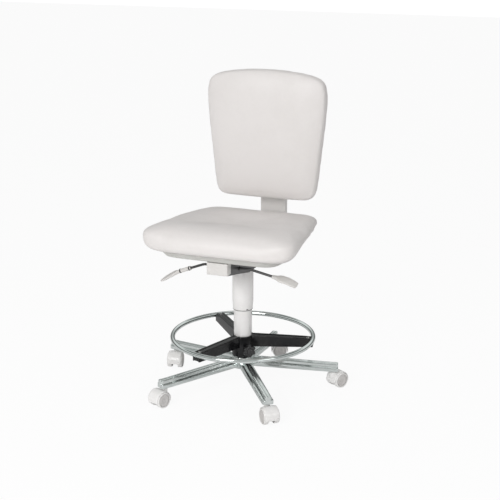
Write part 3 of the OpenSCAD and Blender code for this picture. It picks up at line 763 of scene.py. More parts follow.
@dataclass
class StarBase:
    """The five-arm base with its castors."""

    first_turn: float = 18.0
    hub_r: float = 36.0
    end_r: float = 308.5
    stem_circle: float = 291.0
    root_w: float = 40.0
    tip_w: float = 35.0
    rib_w: float = 21.0
    root_low: float = 77.0
    tip_low: float = 58.9
    root_top: float = 104.0
    tip_top: float = 83.9
    flange: float = 12.0
    swivels: tuple[float, ...] = (-31.0, -68.0, -168.0, 156.0, -138.0)

    def section(self, x: float, trim: float = 0.0) -> list[Vector]:
        """The arm's cut at a distance from the column.

        Args:
            x: the distance from the column's axis.
            trim: how much smaller the cut is all round.

        Returns:
            The cut's points, a pressed rib on a wide flange, open below.
        """
        along = min(1.0, x / self.stem_circle)
        nose = max(0.0, x - (self.end_r - self.tip_w / 4))
        corner = self.tip_w / 4
        tuck = corner - math.sqrt(max(0.0, corner**2 - nose**2))
        half = mix(self.root_w, self.tip_w, min(1.0, x / self.end_r)) / 2 - tuck - trim
        rib = self.rib_w / 2 - 0.6 * tuck - trim
        low = mix(self.root_low, self.tip_low, along)
        step = low + mix(self.flange + 4, self.flange, along) - trim
        top = mix(self.root_top, self.tip_top, along) - trim
        hollow = mix(9.0, 0.4, ease(self.stem_circle - 24, self.stem_circle - 14, x))
        wall = 2.5
        corners = [
            (-half, low, 0.0), (-half, step, 3.4), (-rib - 1.6, step, 2.2), (-rib, step + 1.6, 1.6),
            (-rib, top, 4.6), (-2.6, top, 0.8), (-1.4, top - 0.9, 0.8), (1.4, top - 0.9, 0.8),
            (2.6, top, 0.8), (rib, top, 4.6), (rib, step + 1.6, 1.6), (rib + 1.6, step, 2.2),
            (half, step, 3.4), (half, low, 0.0), (half - wall, low, 0.0),
            (half - wall, low + hollow, 0.0), (wall - half, low + hollow, 0.0),
            (wall - half, low, 0.0),
        ]
        return [Vector((x, y, z)) for y, z in rounded(corners, 4)]

    def arm(self, turn: float) -> Shape:
        """Returns one pressed arm, turned to its place."""
        reach = [33.0, 60.0, 100.0, 150.0, 200.0, 240.0, 266.0, 272.0, 277.0, 288.0, 299.0,
                 301.0, 303.5, 305.5, 307.0, 308.0]
        cuts = [self.section(x) for x in reach] + [self.section(self.end_r - 0.3, 1.2)]
        return Shape.through(cuts).put(turn_z(turn))

    def build(self) -> None:
        """Builds the arms, the hub and the castors."""
        for i in range(BASE_ARMS):
            turn = self.first_turn + 360 / BASE_ARMS * i
            self.arm(turn).piece(f"pressed_arm_{i + 1}", "base", CHROME, [f"base_arm_{i + 1}"],
                                 crease=50)
            Castor(i + 1, turn, self.swivels[i]).build()
        r = self.hub_r
        hub = Shape.turned([
            (25.05, 68), (33.5, 68), (35.2, 68.6), (r, 70.2), (r, 103), (35.6, 105.2),
            (34.4, 106.4), (31.6, 106.8), (31.0, 107.8), (30.2, 108), (25.05, 108),
        ], 96)
        hub.piece("base_hub_turned", "base", CHROME, ["base_hub"])
        ZINC.on_nodes("castor_stems", "stand_tube", "thrust_bearing", "piston_rod",
                      "retaining_clip", "release_pin")
        BLACK_PLASTIC.on_nodes("guide_bush")


# ---- Foot ring ----


@dataclass
class FootRing:
    """The sliding foot ring, its spider and its clamping knob."""

    ring_r: float = 226.0
    tube_r: float = 7.75
    ring_z: float = 171.0
    sleeve_r: float = 29.05
    collar_r: float = 35.0
    collar_low: float = 109.0
    collar_top: float = 177.0
    first_turn: float = 12.0
    arm_w: float = 27.0
    arm_top: float = 178.75
    root_h: float = 38.0
    tip_h: float = 29.0
    knob_turn: float = -48.0
    knob_z: float = 139.0
    knob_near: float = 49.0
    knob_r: float = 21.0
    knob_h: float = 18.0

    def tube(self) -> Shape:
        """Returns the bent and welded tube, a circle spun round the column."""
        shape = Shape()
        made = bmesh.ops.create_circle(shape.bm, cap_ends=False, radius=self.tube_r, segments=28)
        bmesh.ops.rotate(shape.bm, verts=made["verts"], matrix=Matrix.Rotation(math.pi / 2, 3, "X"))
        bmesh.ops.translate(shape.bm, verts=made["verts"], vec=(self.ring_r, 0, self.ring_z))
        bmesh.ops.spin(
            shape.bm, geom=[*shape.bm.verts, *shape.bm.edges], cent=(0, 0, 0), axis=(0, 0, 1),
            dvec=(0, 0, 0), angle=2 * math.pi, steps=160, use_merge=True, use_duplicate=False,
        )
        return shape.closed_up()

    def arm_cut(self, x: float, trim: float) -> list[Vector]:
        """The spider arm's cut: two lips with a shallow channel between, hollow below.

        Args:
            x: the distance from the column's axis.
            trim: how much smaller the cut is all round.

        Returns:
            The cut's points.
        """
        along = (x - 29) / (self.ring_r + 2 - 29)
        half = self.arm_w / 2 - trim
        top = self.arm_top - 1.2 * ease(0.8, 1.0, along) - trim
        low = self.arm_top - mix(self.root_h, self.tip_h, along) + trim
        hollow = mix(16, 2, ease(200, 214, x))
        corners = [
            (-half, low, 0.0), (-half, top, 3.0), (-7.5, top, 1.4), (-5.5, top - 2.6, 1.4),
            (5.5, top - 2.6, 1.4), (7.5, top, 1.4), (half, top, 3.0), (half, low, 0.0),
            (half - 3, low, 0.0), (half - 3, low + hollow, 0.0), (3 - half, low + hollow, 0.0),
            (3 - half, low, 0.0),
        ]
        return [Vector((x, y, z)) for y, z in rounded(corners, 4)]

    def spider(self) -> Shape:
        """Returns the sliding hub with its three arms and the knob's boss."""
        collar = Shape.turned([
            (self.sleeve_r, self.collar_low), (33.6, self.collar_low), (35, self.collar_low + 1.4),
            (self.collar_r, self.collar_top - 2), (33.8, self.collar_top), (30.2, self.collar_top),
            (self.sleeve_r, self.collar_top - 1.2),
        ], 80)
        reach = [30.5, 60, 100, 150, 199, 203, 210, 216, 222, 227]
        cuts = [self.arm_cut(x, 0) for x in reach] + [self.arm_cut(227.8, 1.0)]
        for i in range(SPIDER_ARMS):
            collar.with_part(Shape.through(cuts).put(turn_z(self.first_turn + 120 * i)))
        boss = Shape.turned([(4.1, 30), (9, 30), (9, 44.4), (8.4, 45.6), (7, 46), (4.1, 46)], 40)
        at_knob = turn_z(self.knob_turn) @ shift(0, 0, self.knob_z) @ along_x()
        return collar.with_part(boss.put(at_knob))

    def knob(self) -> Shape:
        """Returns the six-lobed clamping knob with its domed face and cap."""

        def lobes(height: float, size: float, deep: float) -> Ring:
            """Gives the knob's outline at a height.
            
            Args:
                height: the height.
                size: its share of the full radius.
                deep: how deep the lobes are, from 0 to 1.
            
            Returns:
                The outline as a ring.
            """
            def point(share: float) -> Vector:
                """Returns the point at a share of the way round."""
                turn = 2 * math.pi * share
                r = self.knob_r * size * (0.885 + 0.115 * deep * math.cos(6 * turn))
                return Vector((r * math.cos(turn), r * math.sin(turn), height))

            return point

        h = self.knob_h
        body = Shape.lofted([
            lobes(0, 0.56, 0), lobes(0.6, 0.6, 0.1), lobes(3.2, 0.8, 0.5), lobes(4.6, 0.97, 1),
            lobes(5.6, 1.0, 1), lobes(h - 4, 1.0, 1), lobes(h - 2, 0.965, 1),
            lobes(h - 0.9, 0.89, 0.8), lobes(h - 0.8, 0.62, 0.1), lobes(h - 1.8, 0.58, 0),
            lobes(h - 1.8, 0.52, 0),
            lobes(h - 0.4, 0.48, 0), lobes(h - 0.1, 0.3, 0),
        ], 96)
        return body.put(turn_z(self.knob_turn) @ shift(self.knob_near, 0, self.knob_z) @ along_x())

    def screws(self) -> Shape:
        """Returns the three domed screws with a round socket in each."""
        dome = [(0, 172.8), (2.5, 172.8), (2.5, 175.6), (4.9, 175.6), (5.0, 176.2), (4.2, 177.6),
                (2.6, 178.4), (2.2, 178.3), (2.0, 177.0), (0, 176.6)]
        out = Shape()
        for i in range(SPIDER_ARMS):
            screw = Shape.turned(dome, 36)
            out.with_part(screw.put(turn_z(self.first_turn + 120 * i) @ shift(210.5, 0, 0)))
        return out

    def build(self) -> None:
        """Builds the ring, the spider, the screws and the knob."""
        self.tube().piece("foot_ring_tube", "ring", CHROME, ["foot_ring"])
        self.spider().piece("sliding_spider", "ring", BLACK_PAINT, ["ring_spider"])
        self.screws().piece("spider_screws", "ring", ZINC, ["ring_screws"])
        self.knob().piece("clamping_knob", "ring_knob", BLACK_PLASTIC, ["star_knob"], crease=50)
        ZINC.on_nodes("clamp_screw")


# ---- Column ----


@dataclass
class Column:
    """The fixed sleeve and the telescopic covers over the gas lift."""

    sleeve_r: float = 29.0
    stage_r: float = 29.85
    cover_r: float = 33.5
    wall: float = 1.6
    cover_low: float = 265.0
    skirt: float = 23.0
    cover_top: float = 395.5
    notch_turn: float = -42.0

    def build(self) -> None:
        """Builds the three covers, a thin black ring under the skirt that paints the shadow line at
        its lower edge, and a small black block that paints the shade of the notch in the skirt.
        """
        s = self.sleeve_r
        Shape.turned([(25.05, 108), (s - 0.3, 108), (s, 108.4), (s, 386.9), (s - 0.4, 387.8),
                      (s - 1, 388), (25.05, 388)], 96).piece(
            "sleeve_tube", "base", GLOSS_WHITE, ["column_sleeve"])
        t = self.stage_r
        Shape.turned([(s + 0.05, 290), (t, 290), (t, 389.8), (t - 0.2, 390), (s + 0.05, 390)],
                     96).piece("middle_stage", "telescopic_stage", GLOSS_WHITE, ["middle_cover"])
        low, high, c = self.cover_low, self.cover_low + self.skirt, self.cover_r
        inner = t + 0.05
        outline = [(inner, low + 0.3), (inner + 0.5, low), (inner + 1.2, low),
                   (inner + 1.55, low + 0.5), (inner + 1.75, low + 3), (c - 0.9, high - 6),
                   (c - 0.35, high - 1.5), (c - 0.08, high + 2.5), (c, high + 7),
                   (c, self.cover_top - 0.8), (c - 0.5, self.cover_top),
                   (c - self.wall, self.cover_top), (c - self.wall, high)]
        Shape.turned(outline, 96).piece("skirted_cover", "seat", GLOSS_WHITE, ["upper_cover"])
        # A thin black ring just under the skirt's lower edge: a painted shadow line where the skirt
        # overlaps the sleeve.
        shadow_ring_outline = [(inner, low - 1.0), (inner + 1.6, low - 1.0), (inner + 1.9, low - 0.6),
                 (inner + 1.8, low + 0.6), (inner, low + 0.6)]
        Shape.turned(shadow_ring_outline, 96).piece("cover_wiper", "seat", BLACK_PLASTIC)
        # A small black block on the skirt's lower edge: painted shade standing in for the small
        # dark notch there.
        notch_shade_block = Shape.block(Vector((-1.1, -3.2, -1.3)), Vector((1.1, 3.2, 1.3)), 0.6)
        notch_shade_block.put(turn_z(self.notch_turn) @ shift(inner + 1.25, 0, low + 3.4))
        notch_shade_block.piece("cover_catch", "seat", BLACK_PLASTIC)
        DARK_STEEL.on_nodes("gas_cylinder")


# ---- Mechanism and levers ----


@dataclass
class Mechanism:
    """The housing under the seat with its two levers."""

    half_box: float = 33.0
    lever_y: float = -115.0
    lever_z: float = 434.0
    rod_r: float = 4.0
    right: tuple[Flat, ...] = ((36, 0), (110, -15), (157, -23), (187, -35))
    left: tuple[Flat, ...] = ((49, 1), (96, -17), (148, -37), (199, -70))

    def point(self, side: int, at: Flat) -> Vector:
        """Returns a lever point in the chair's frame, from one counted from the pivot."""
        return Vector((side * (self.half_box + at[0]), self.lever_y, self.lever_z + at[1]))

    def pipe(self, path: Sequence[Vector], radius: float, bend: float) -> Shape:
        """A round rod along a path with smooth bends.

        Args:
            path: the corners.
            radius: the rod's radius.
            bend: how far from each corner the bend starts.

        Returns:
            The rod, with chamfered ends.
        """
        line: list[Vector] = [path[0]]
        for a, b, c in zip(path, path[1:], path[2:]):
            start = b + (a - b).normalized() * min(bend, (a - b).length * 0.45)
            end = b + (c - b).normalized() * min(bend, (c - b).length * 0.45)
            line += [start * (1 - t) ** 2 + b * 2 * t * (1 - t) + end * t * t
                     for t in (k / 8 for k in range(9))]
        line.append(path[-1])
        ends = [(line[0] - line[1]).normalized(), (line[-1] - line[-2]).normalized()]
        stops = [(line[0], 0.8), (line[0] - ends[0] * 0.8, 1.0)]
        stops += [(p, 1.0) for p in line[1:-1]]
        stops += [(line[-1] - ends[1] * 0.8, 1.0), (line[-1], 0.8)]
        rings: list[Ring] = []
        for i, (at, size) in enumerate(stops):
            ahead = stops[min(i + 1, len(stops) - 1)][0] - stops[max(i - 1, 0)][0]
            side = ahead.cross(Vector((0, 0, 1))).normalized()
            up = side.cross(ahead).normalized()

            def ring(share: float, at: Vector = at, side: Vector = side, up: Vector = up,
                     r: float = radius * size) -> Vector:
                """Returns the point at a share of the way round the rod."""
                turn = 2 * math.pi * share
                return at + side * (r * math.cos(turn)) + up * (r * math.sin(turn))

            rings.append(ring)
        return Shape.lofted(rings, 20)

    def paddle(self, side: int, plan: Sequence[Flat], tip_w: float, thin: float,
               roll: float) -> Shape:
        """A moulded grip on the outer part of a lever.

        Args:
            side: 1 for the lever on the +X side, -1 for the other.
            plan: the lever's points.
            tip_w: the width at the tip.
            thin: the thickness at the tip.
            roll: how far its front edge is turned down, in degrees.

        Returns:
            The grip.
        """
        root, mid, tip = (self.point(side, p) for p in plan[1:])
        stops = [
            (-0.02, 9.0, 10.4), (0.0, 11.0, 11.4), (0.08, 13.0, 11.6), (0.17, 19.0, 11.0),
            (0.27, 27.0, 10.4), (0.38, 30.0, 9.8), (0.6, 30.5, 9.0),
            (0.78, mix(30, tip_w, 0.3), 8.6), (0.9, mix(30, tip_w, 0.75), mix(8, thin, 0.6)),
            (0.97, tip_w, thin), (1.0, tip_w * 0.86, thin * 0.8), (1.012, tip_w * 0.6, thin * 0.5),
        ]
        first = (mid - root).length
        whole = first + (tip - mid).length

        def centre(share: float) -> Vector:
            """Gives a point on the grip's middle line, bent smoothly.
            
            Args:
                share: how far along it.
            
            Returns:
                The point.
            """
            t = share * whole / first
            turn = first / whole
            if share < turn - 0.12:
                return root + (mid - root) * t
            straight = mid + (tip - mid) * ((share - turn) / (1 - turn))
            if share > turn + 0.12:
                return straight
            a = root + (mid - root) * ((turn - 0.12) / turn)
            b = mid + (tip - mid) * (0.12 / (1 - turn))
            k = (share - turn + 0.12) / 0.24
            return a * (1 - k) ** 2 + mid * 2 * k * (1 - k) + b * k * k

        rings: list[Ring] = []
        for share, width, thick in stops:
            ahead = (centre(share + 0.02) - centre(share - 0.02)).normalized()
            up = Vector((0, 1, 0)).cross(ahead).normalized()
            if up.z < 0:
                up = -up
            tilt = math.radians(roll) * ease(0.0, 0.3, share)
            wide = Vector((0, math.cos(tilt), 0)) + up * math.sin(tilt)
            up = up * math.cos(tilt) - Vector((0, math.sin(tilt), 0))

            def ring(turn: float, at: Vector = centre(share), wide: Vector = wide,
                     up: Vector = up, half: float = width / 2, t: float = thick / 2) -> Vector:
                """Returns the grip's point at a share of the way round, its top dished."""
                a, b = squircle(turn, half, t, 2.7)
                dish = 0.12 * t * (1 - (a / half) ** 2) if b > 0 else 0.0
                return at + wide * a + up * (b - dish)

            rings.append(ring)
        return Shape.lofted(rings, 40)

    def lever(self, side: int, plan: Sequence[Flat], inner: Vector) -> Shape:
        """Returns a lever's rod with the cross pin that it turns on."""
        along = Vector(plan[1]) - Vector(plan[0])
        end = Vector(plan[0]) + along * 1.3
        path = [inner, self.point(side, (-self.half_box / 2, 0)), self.point(side, plan[0]),
                self.point(side, (end.x, end.y))]
        pin = Shape.turned([(0, -9), (2.6, -9), (3, -8.6), (3, 8.6), (2.6, 9), (0, 9)], 28)
        turn = Matrix.Rotation(math.radians(90), 4, "X")
        pin.put(shift(*self.point(side, (-7, 0))) @ turn)
        return self.pipe(path, self.rod_r, 9).with_part(pin)

    def ferrules(self, side: int, plan: Sequence[Flat], spots: Sequence[float],
                 profile: Sequence[Flat]) -> Shape:
        """Turned rings on a lever's outer stretch.

        Args:
            side: which lever.
            plan: its points.
            spots: places along the stretch, as shares of it.
            profile: each ring's cut as (radius, height).

        Returns:
            The rings.
        """
        start, end = self.point(side, plan[0]), self.point(side, plan[1])
        aim = (end - start).to_track_quat("Z", "Y").to_matrix().to_4x4()
        out = Shape()
        for spot in spots:
            at = start + (end - start) * spot
            out.with_part(Shape.turned(profile, 32).put(shift(*at) @ aim))
        return out

    def left_grip(self) -> list[Flat]:
        """Returns the left lever's points with its grip starting past the sleeve."""
        start, end = Vector(self.left[1]), Vector(self.left[2])
        root = start + (end - start) * 0.68
        return [self.left[0], (root.x, root.y), (end.x + 4, end.y - 3), self.left[3]]

    def cap(self) -> Shape:
        """Returns the housing's front cap: a rounded block as wide and tall as the CAD cap, 30 mm
        deep.
        """
        low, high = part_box("front_cap")
        low, high = low / MM, high / MM
        front = Vector((low.x - 0.2, low.y, low.z))
        back = Vector((high.x + 0.2, low.y + 30, high.z))
        return Shape.block(front, back, 2.2, 4)

    def build(self) -> None:
        """Builds the cap, levers and paddles and dresses the housing."""
        self.cap().piece("housing_cap", "seat", LIGHT_GREY, ["front_cap"])
        DARK_STEEL.on_nodes("mechanism_housing")
        ZINC.on_nodes("pivot_pin")
        self.lever(1, self.right, Vector((0, 4, self.lever_z))).piece(
            "height_rod", "height_control", DARK_STEEL, ["height_lever"])
        self.paddle(1, self.right, 26, 7.5, 24).piece(
            "height_grip", "height_control", LIGHT_GREY, ["height_paddle"])
        self.lever(-1, self.left, Vector((10 - self.half_box, 30, self.lever_z))).piece(
            "tilt_rod", "tilt_control", DARK_STEEL, ["tilt_lever"])
        self.paddle(-1, self.left_grip(), 13, 6, 14).piece(
            "tilt_grip", "tilt_control", LIGHT_GREY, ["tilt_paddle"])
        sleeve = [(0, -19), (5.6, -19), (6.2, -18.4), (6.4, 18.4), (5.8, 19), (0, 19)]
        self.ferrules(-1, self.left[1:], (0.34,), sleeve).piece(
            "tilt_rod_sleeve", "tilt_control", LIGHT_GREY)
        collar = [(0, -2.2), (6.5, -2.2), (7.0, -1.6), (7.0, 1.6), (6.5, 2.2), (0, 2.2)]
        self.ferrules(-1, self.left[1:], (0.1, 0.68), collar).piece(
            "tilt_rod_collars", "tilt_control", BLACK_PLASTIC)


# ---- Cushions ----


def relax(bm: bmesh.types.BMesh, times: int) -> None:
    """Evens out every point with its neighbours a number of times."""
    for _ in range(times):
        bmesh.ops.smooth_vert(bm, verts=bm.verts, factor=0.5, use_axis_x=True, use_axis_y=True,
                              use_axis_z=True)


def puff(
    obj: bpy.types.Object, reach: float, held: Callable[[Vector], float]
) -> None:
    """Fills a closed form as foam under a stretched cover, by cloth simulation.

    Args:
        obj: the closed form, whose mesh is replaced.
        reach: the farthest that a point may move, in metres.
        held: how firmly each point is held where it is, from 0 to 1.
    """
    scene = bpy.context.scene
    grid = obj.modifiers.new("grid", "REMESH")
    grid.mode = "VOXEL"
    grid.voxel_size = CLOTH_GRID
    graph = bpy.context.evaluated_depsgraph_get()
    start = bpy.data.meshes.new_from_object(obj.evaluated_get(graph))
    obj.modifiers.clear()
    trial = bpy.data.objects.new("trial", start)
    scene.collection.objects.link(trial)
    pins = trial.vertex_groups.new(name="held")
    for vert in start.vertices:
        pins.add([vert.index], held(vert.co), "REPLACE")
    cloth = trial.modifiers.new("cloth", "CLOTH")
    settings = cloth.settings
    settings.quality = 5
    settings.mass = 0.3
    settings.tension_stiffness = settings.compression_stiffness = 25
    settings.bending_stiffness = 3
    settings.use_pressure = True
    settings.uniform_pressure_force = AIR_PRESSURE
    settings.effector_weights.gravity = 0
    settings.vertex_group_mass = "held"
    for frame in range(1, CLOTH_FRAMES + 1):
        scene.frame_set(frame)
    graph = bpy.context.evaluated_depsgraph_get()
    moved = [v.co.copy() for v in trial.evaluated_get(graph).data.vertices]
    bpy.data.objects.remove(trial)
    scene.frame_set(1)
    homes = [v.co.copy() for v in start.vertices]
    bm = bmesh.new()
    bm.from_mesh(start)
    for vert, home, end in zip(bm.verts, homes, moved):
        step = end - home
        vert.co = step.normalized() * min(step.length, reach)
    relax(bm, SPREAD_ROUNDS)
    for vert, home in zip(bm.verts, homes):
        vert.co += home
    relax(bm, EVEN_ROUNDS)
    for face in bm.faces:
        face.smooth = True
    bm.to_mesh(start)
    bm.free()
    obj.data = start
    obj.data.name = obj.name
    fine = obj.modifiers.new("fine", "SUBSURF")
    fine.levels = fine.render_levels = 1


@dataclass
class Seat:
    """The seat: a moulded pan, a padded cushion and the bead between them."""

    plate_z: float = 460.0
    tilt: float = 4.0
    front: float = 256.0
    rear: float = 208.0
    front_w: float = 512.0
    rear_w: float = 384.0
    low: float = 18.6
    top: float = 91.0
    dish: float = 15.0
    square: float = 8.5
    held_h: float = 26.0
    swell: float = 1.0
    edge_r: float = 42.0
    pan_front: float = 222.0
    pan_rear: float = 178.0
    pan_front_w: float = 376.0
    pan_rear_w: float = 281.0

    def place(self) -> Matrix:
        """Returns the seat's tilted frame."""
        return shift(0, 0, self.plate_z) @ Matrix.Rotation(math.radians(-self.tilt), 4, "X")

    def outline(self, share: float, grow: float, pan: float, square: float) -> Vector:
        """A point on an outline between the pan's and the cushion's widest one.

        Args:
            share: how far round.
            grow: how much larger the outline is all round.
            pan: 1 for the pan's outline and 0 for the cushion's.
            square: how square the corners are.

        Returns:
            The point, with no height.
        """
        front = mix(self.front, self.pan_front, pan) + grow
        rear = mix(self.rear, self.pan_rear, pan) + grow
        half = (front + rear) / 2
        unit_x, unit_y = squircle(share, 1.0, 1.0, square)
        toward_rear = (unit_y + 1) / 2
        front_half = mix(self.front_w, self.pan_front_w, pan) / 2
        rear_half = mix(self.rear_w, self.pan_rear_w, pan) / 2
        wide = mix(front_half, rear_half, toward_rear**1.9) + grow
        bow = 1 - 0.014 * (1 - pan) * (unit_x**2) * (1 if unit_y < 0 else 0.4)
        return Vector((unit_x * wide, (rear - front) / 2 + unit_y * half * bow, 0))

    def body_point(self, share: float, rise: float) -> Vector:
        """A point on the cushion's skin.

        Args:
            share: how far round.
            rise: 0 at the middle of the underside, 1 at the middle of the top.

        Returns:
            The point in the seat's frame.
        """
        x_unit, y_unit = squircle(share, 1.0, 1.0, self.square)
        rear_side = ease(-0.8, 0.7, y_unit)
        belly = mix(0.5, 0.7, max(rear_side, ease(0.55, 0.95, abs(x_unit))))
        wing = ease(-0.97, -0.2, y_unit)
        height = self.top - self.low
        centre = Vector((0, -20, 0))
        if rise < 0.16:
            edge = self.outline(share, 5, 1.0, self.square)
            p = centre + (edge - centre) * (rise / 0.16)
            return Vector((p.x, p.y, self.low))
        if rise < 0.5:
            a = (rise - 0.16) / 0.34 * math.pi / 2
            out = mix(math.sin(a) ** 0.67, 1 - math.cos(a), wing)
            lift = mix(1 - math.cos(a) ** 0.67, math.sin(a), wing)
            p = self.outline(share, mix(5, self.swell, out), 1 - out, self.square)
            return Vector((p.x, p.y, self.low + height * belly * lift))
        if rise < 0.8:
            a = (rise - 0.5) / 0.3 * math.pi / 2
            inset = self.edge_r * (1 - math.cos(a) ** 0.85)
            p = self.outline(share, self.swell - inset, 0.0, self.square)
            return Vector((p.x, p.y, self.low + height * mix(belly, 0.95, math.sin(a) ** 0.85)))
        inward = (rise - 0.8) / 0.2
        edge = self.outline(share, self.swell - self.edge_r, 0.0, self.square)
        p = centre + (edge - centre) * (1 - inward)
        crown = 0.05 * math.sin(inward * math.pi / 2)
        z = self.low + height * (0.95 + crown) - self.dish * ease(0.2, 0.9, inward)
        return Vector((p.x, p.y, z))

    def cushion(self) -> bpy.types.Object:
        """Builds the padded cushion and returns it."""
        rises = [0.0, 0.05, 0.1, 0.14, 0.16, 0.175, 0.2, 0.23, 0.27, 0.31, 0.35, 0.39, 0.43,
                 0.47, 0.5, 0.53, 0.56, 0.59, 0.62, 0.65, 0.68, 0.71, 0.74, 0.77, 0.8, 0.82,
                 0.84, 0.86, 0.88, 0.9, 0.92, 0.94, 0.96, 0.98, 1.0]
        rings = [
            (lambda share, rise=rise: self.body_point(share, rise)) for rise in rises
        ]
        skin = Shape.lofted(rings, 128, caps=False).put(self.place())
        obj = skin.piece("padded_seat", "seat", VINYL, ["seat_cushion"], crease=170)
        floor = (self.place() @ Vector((0, 0, self.low + self.held_h))) * MM
        up = self.place().to_3x3() @ Vector((0, 0, 1))
        puff(obj, 0.013, lambda p: 1.0 if (p - floor).dot(up) < 0.0 else 0.0)
        return obj

    def stack(self, stations: Sequence[Flat]) -> list[Ring]:
        """Returns the pan's outline, one ring for each (height, growth)."""
        return [(lambda share, z=z, grow=grow: self.outline(share, grow, 1.0, self.square)
                 + Vector((0, 0, z))) for z, grow in stations]

    def pan(self) -> Shape:
        """Returns the moulded pan: round under-edge, flared side, rolled lip, hollow inside."""
        stations = [
            (0.0, -118.0), (0.0, -40.0), (0.0, -13.0), (0.5, -7.5), (2.2, -3.2), (5.0, -0.9),
            (9.0, 2.2), (13.2, 5.4), (15.0, 8.0), (16.4, 9.2), (17.6, 9.0), (18.2, 7.6),
            (17.9, 5.6), (16.4, 4.4), (13.0, 2.2), (6.0, -3.4), (3.2, -7.0), (3.0, -40.0),
            (3.0, -118.0),
        ]
        return Shape.lofted(self.stack(stations), 128).put(self.place())

    def bead(self) -> Shape:
        """Returns the sewn bead round the cushion's lower edge, just above the pan's lip."""

        def cut(k: int) -> Ring:
            """Gives one line round the seat, at a step round the bead's own section.
            
            Args:
                k: the step.
            
            Returns:
                The line as a ring.
            """
            turn = 2 * math.pi * k / 10

            def point(share: float) -> Vector:
                """Returns the point at a share of the way round."""
                p = self.outline(share, 7.4 + 2.1 * math.cos(turn), 1.0, self.square)
                return p + Vector((0, 0, 20.6 + 1.9 * math.sin(turn)))

            return point

        return Shape.lofted([cut(k) for k in range(11)], 128, caps=False).put(self.place())

    def board(self) -> Shape:
        """Returns the plywood board that lies in the pan and carries the cushion."""
        stations = [(3.4, -60.0), (3.4, -9.0), (4.2, -8.2), (14.2, -6.2), (15.0, -7.0),
                    (15.0, -60.0)]
        return Shape.lofted(self.stack(stations), 96).put(self.place())

    def build(self) -> None:
        """Builds the cushion, the pan, the board and the bead and dresses the bolts."""
        self.cushion()
        self.board().piece("plywood_seat_board", "seat", PLYWOOD, ["seat_board"])
        self.pan().piece("moulded_pan", "seat", PAN, ["seat_pan"], crease=60)
        self.bead().piece("seat_bead", "seat", VINYL, crease=170)
        ZINC.on_nodes("seat_bolts")


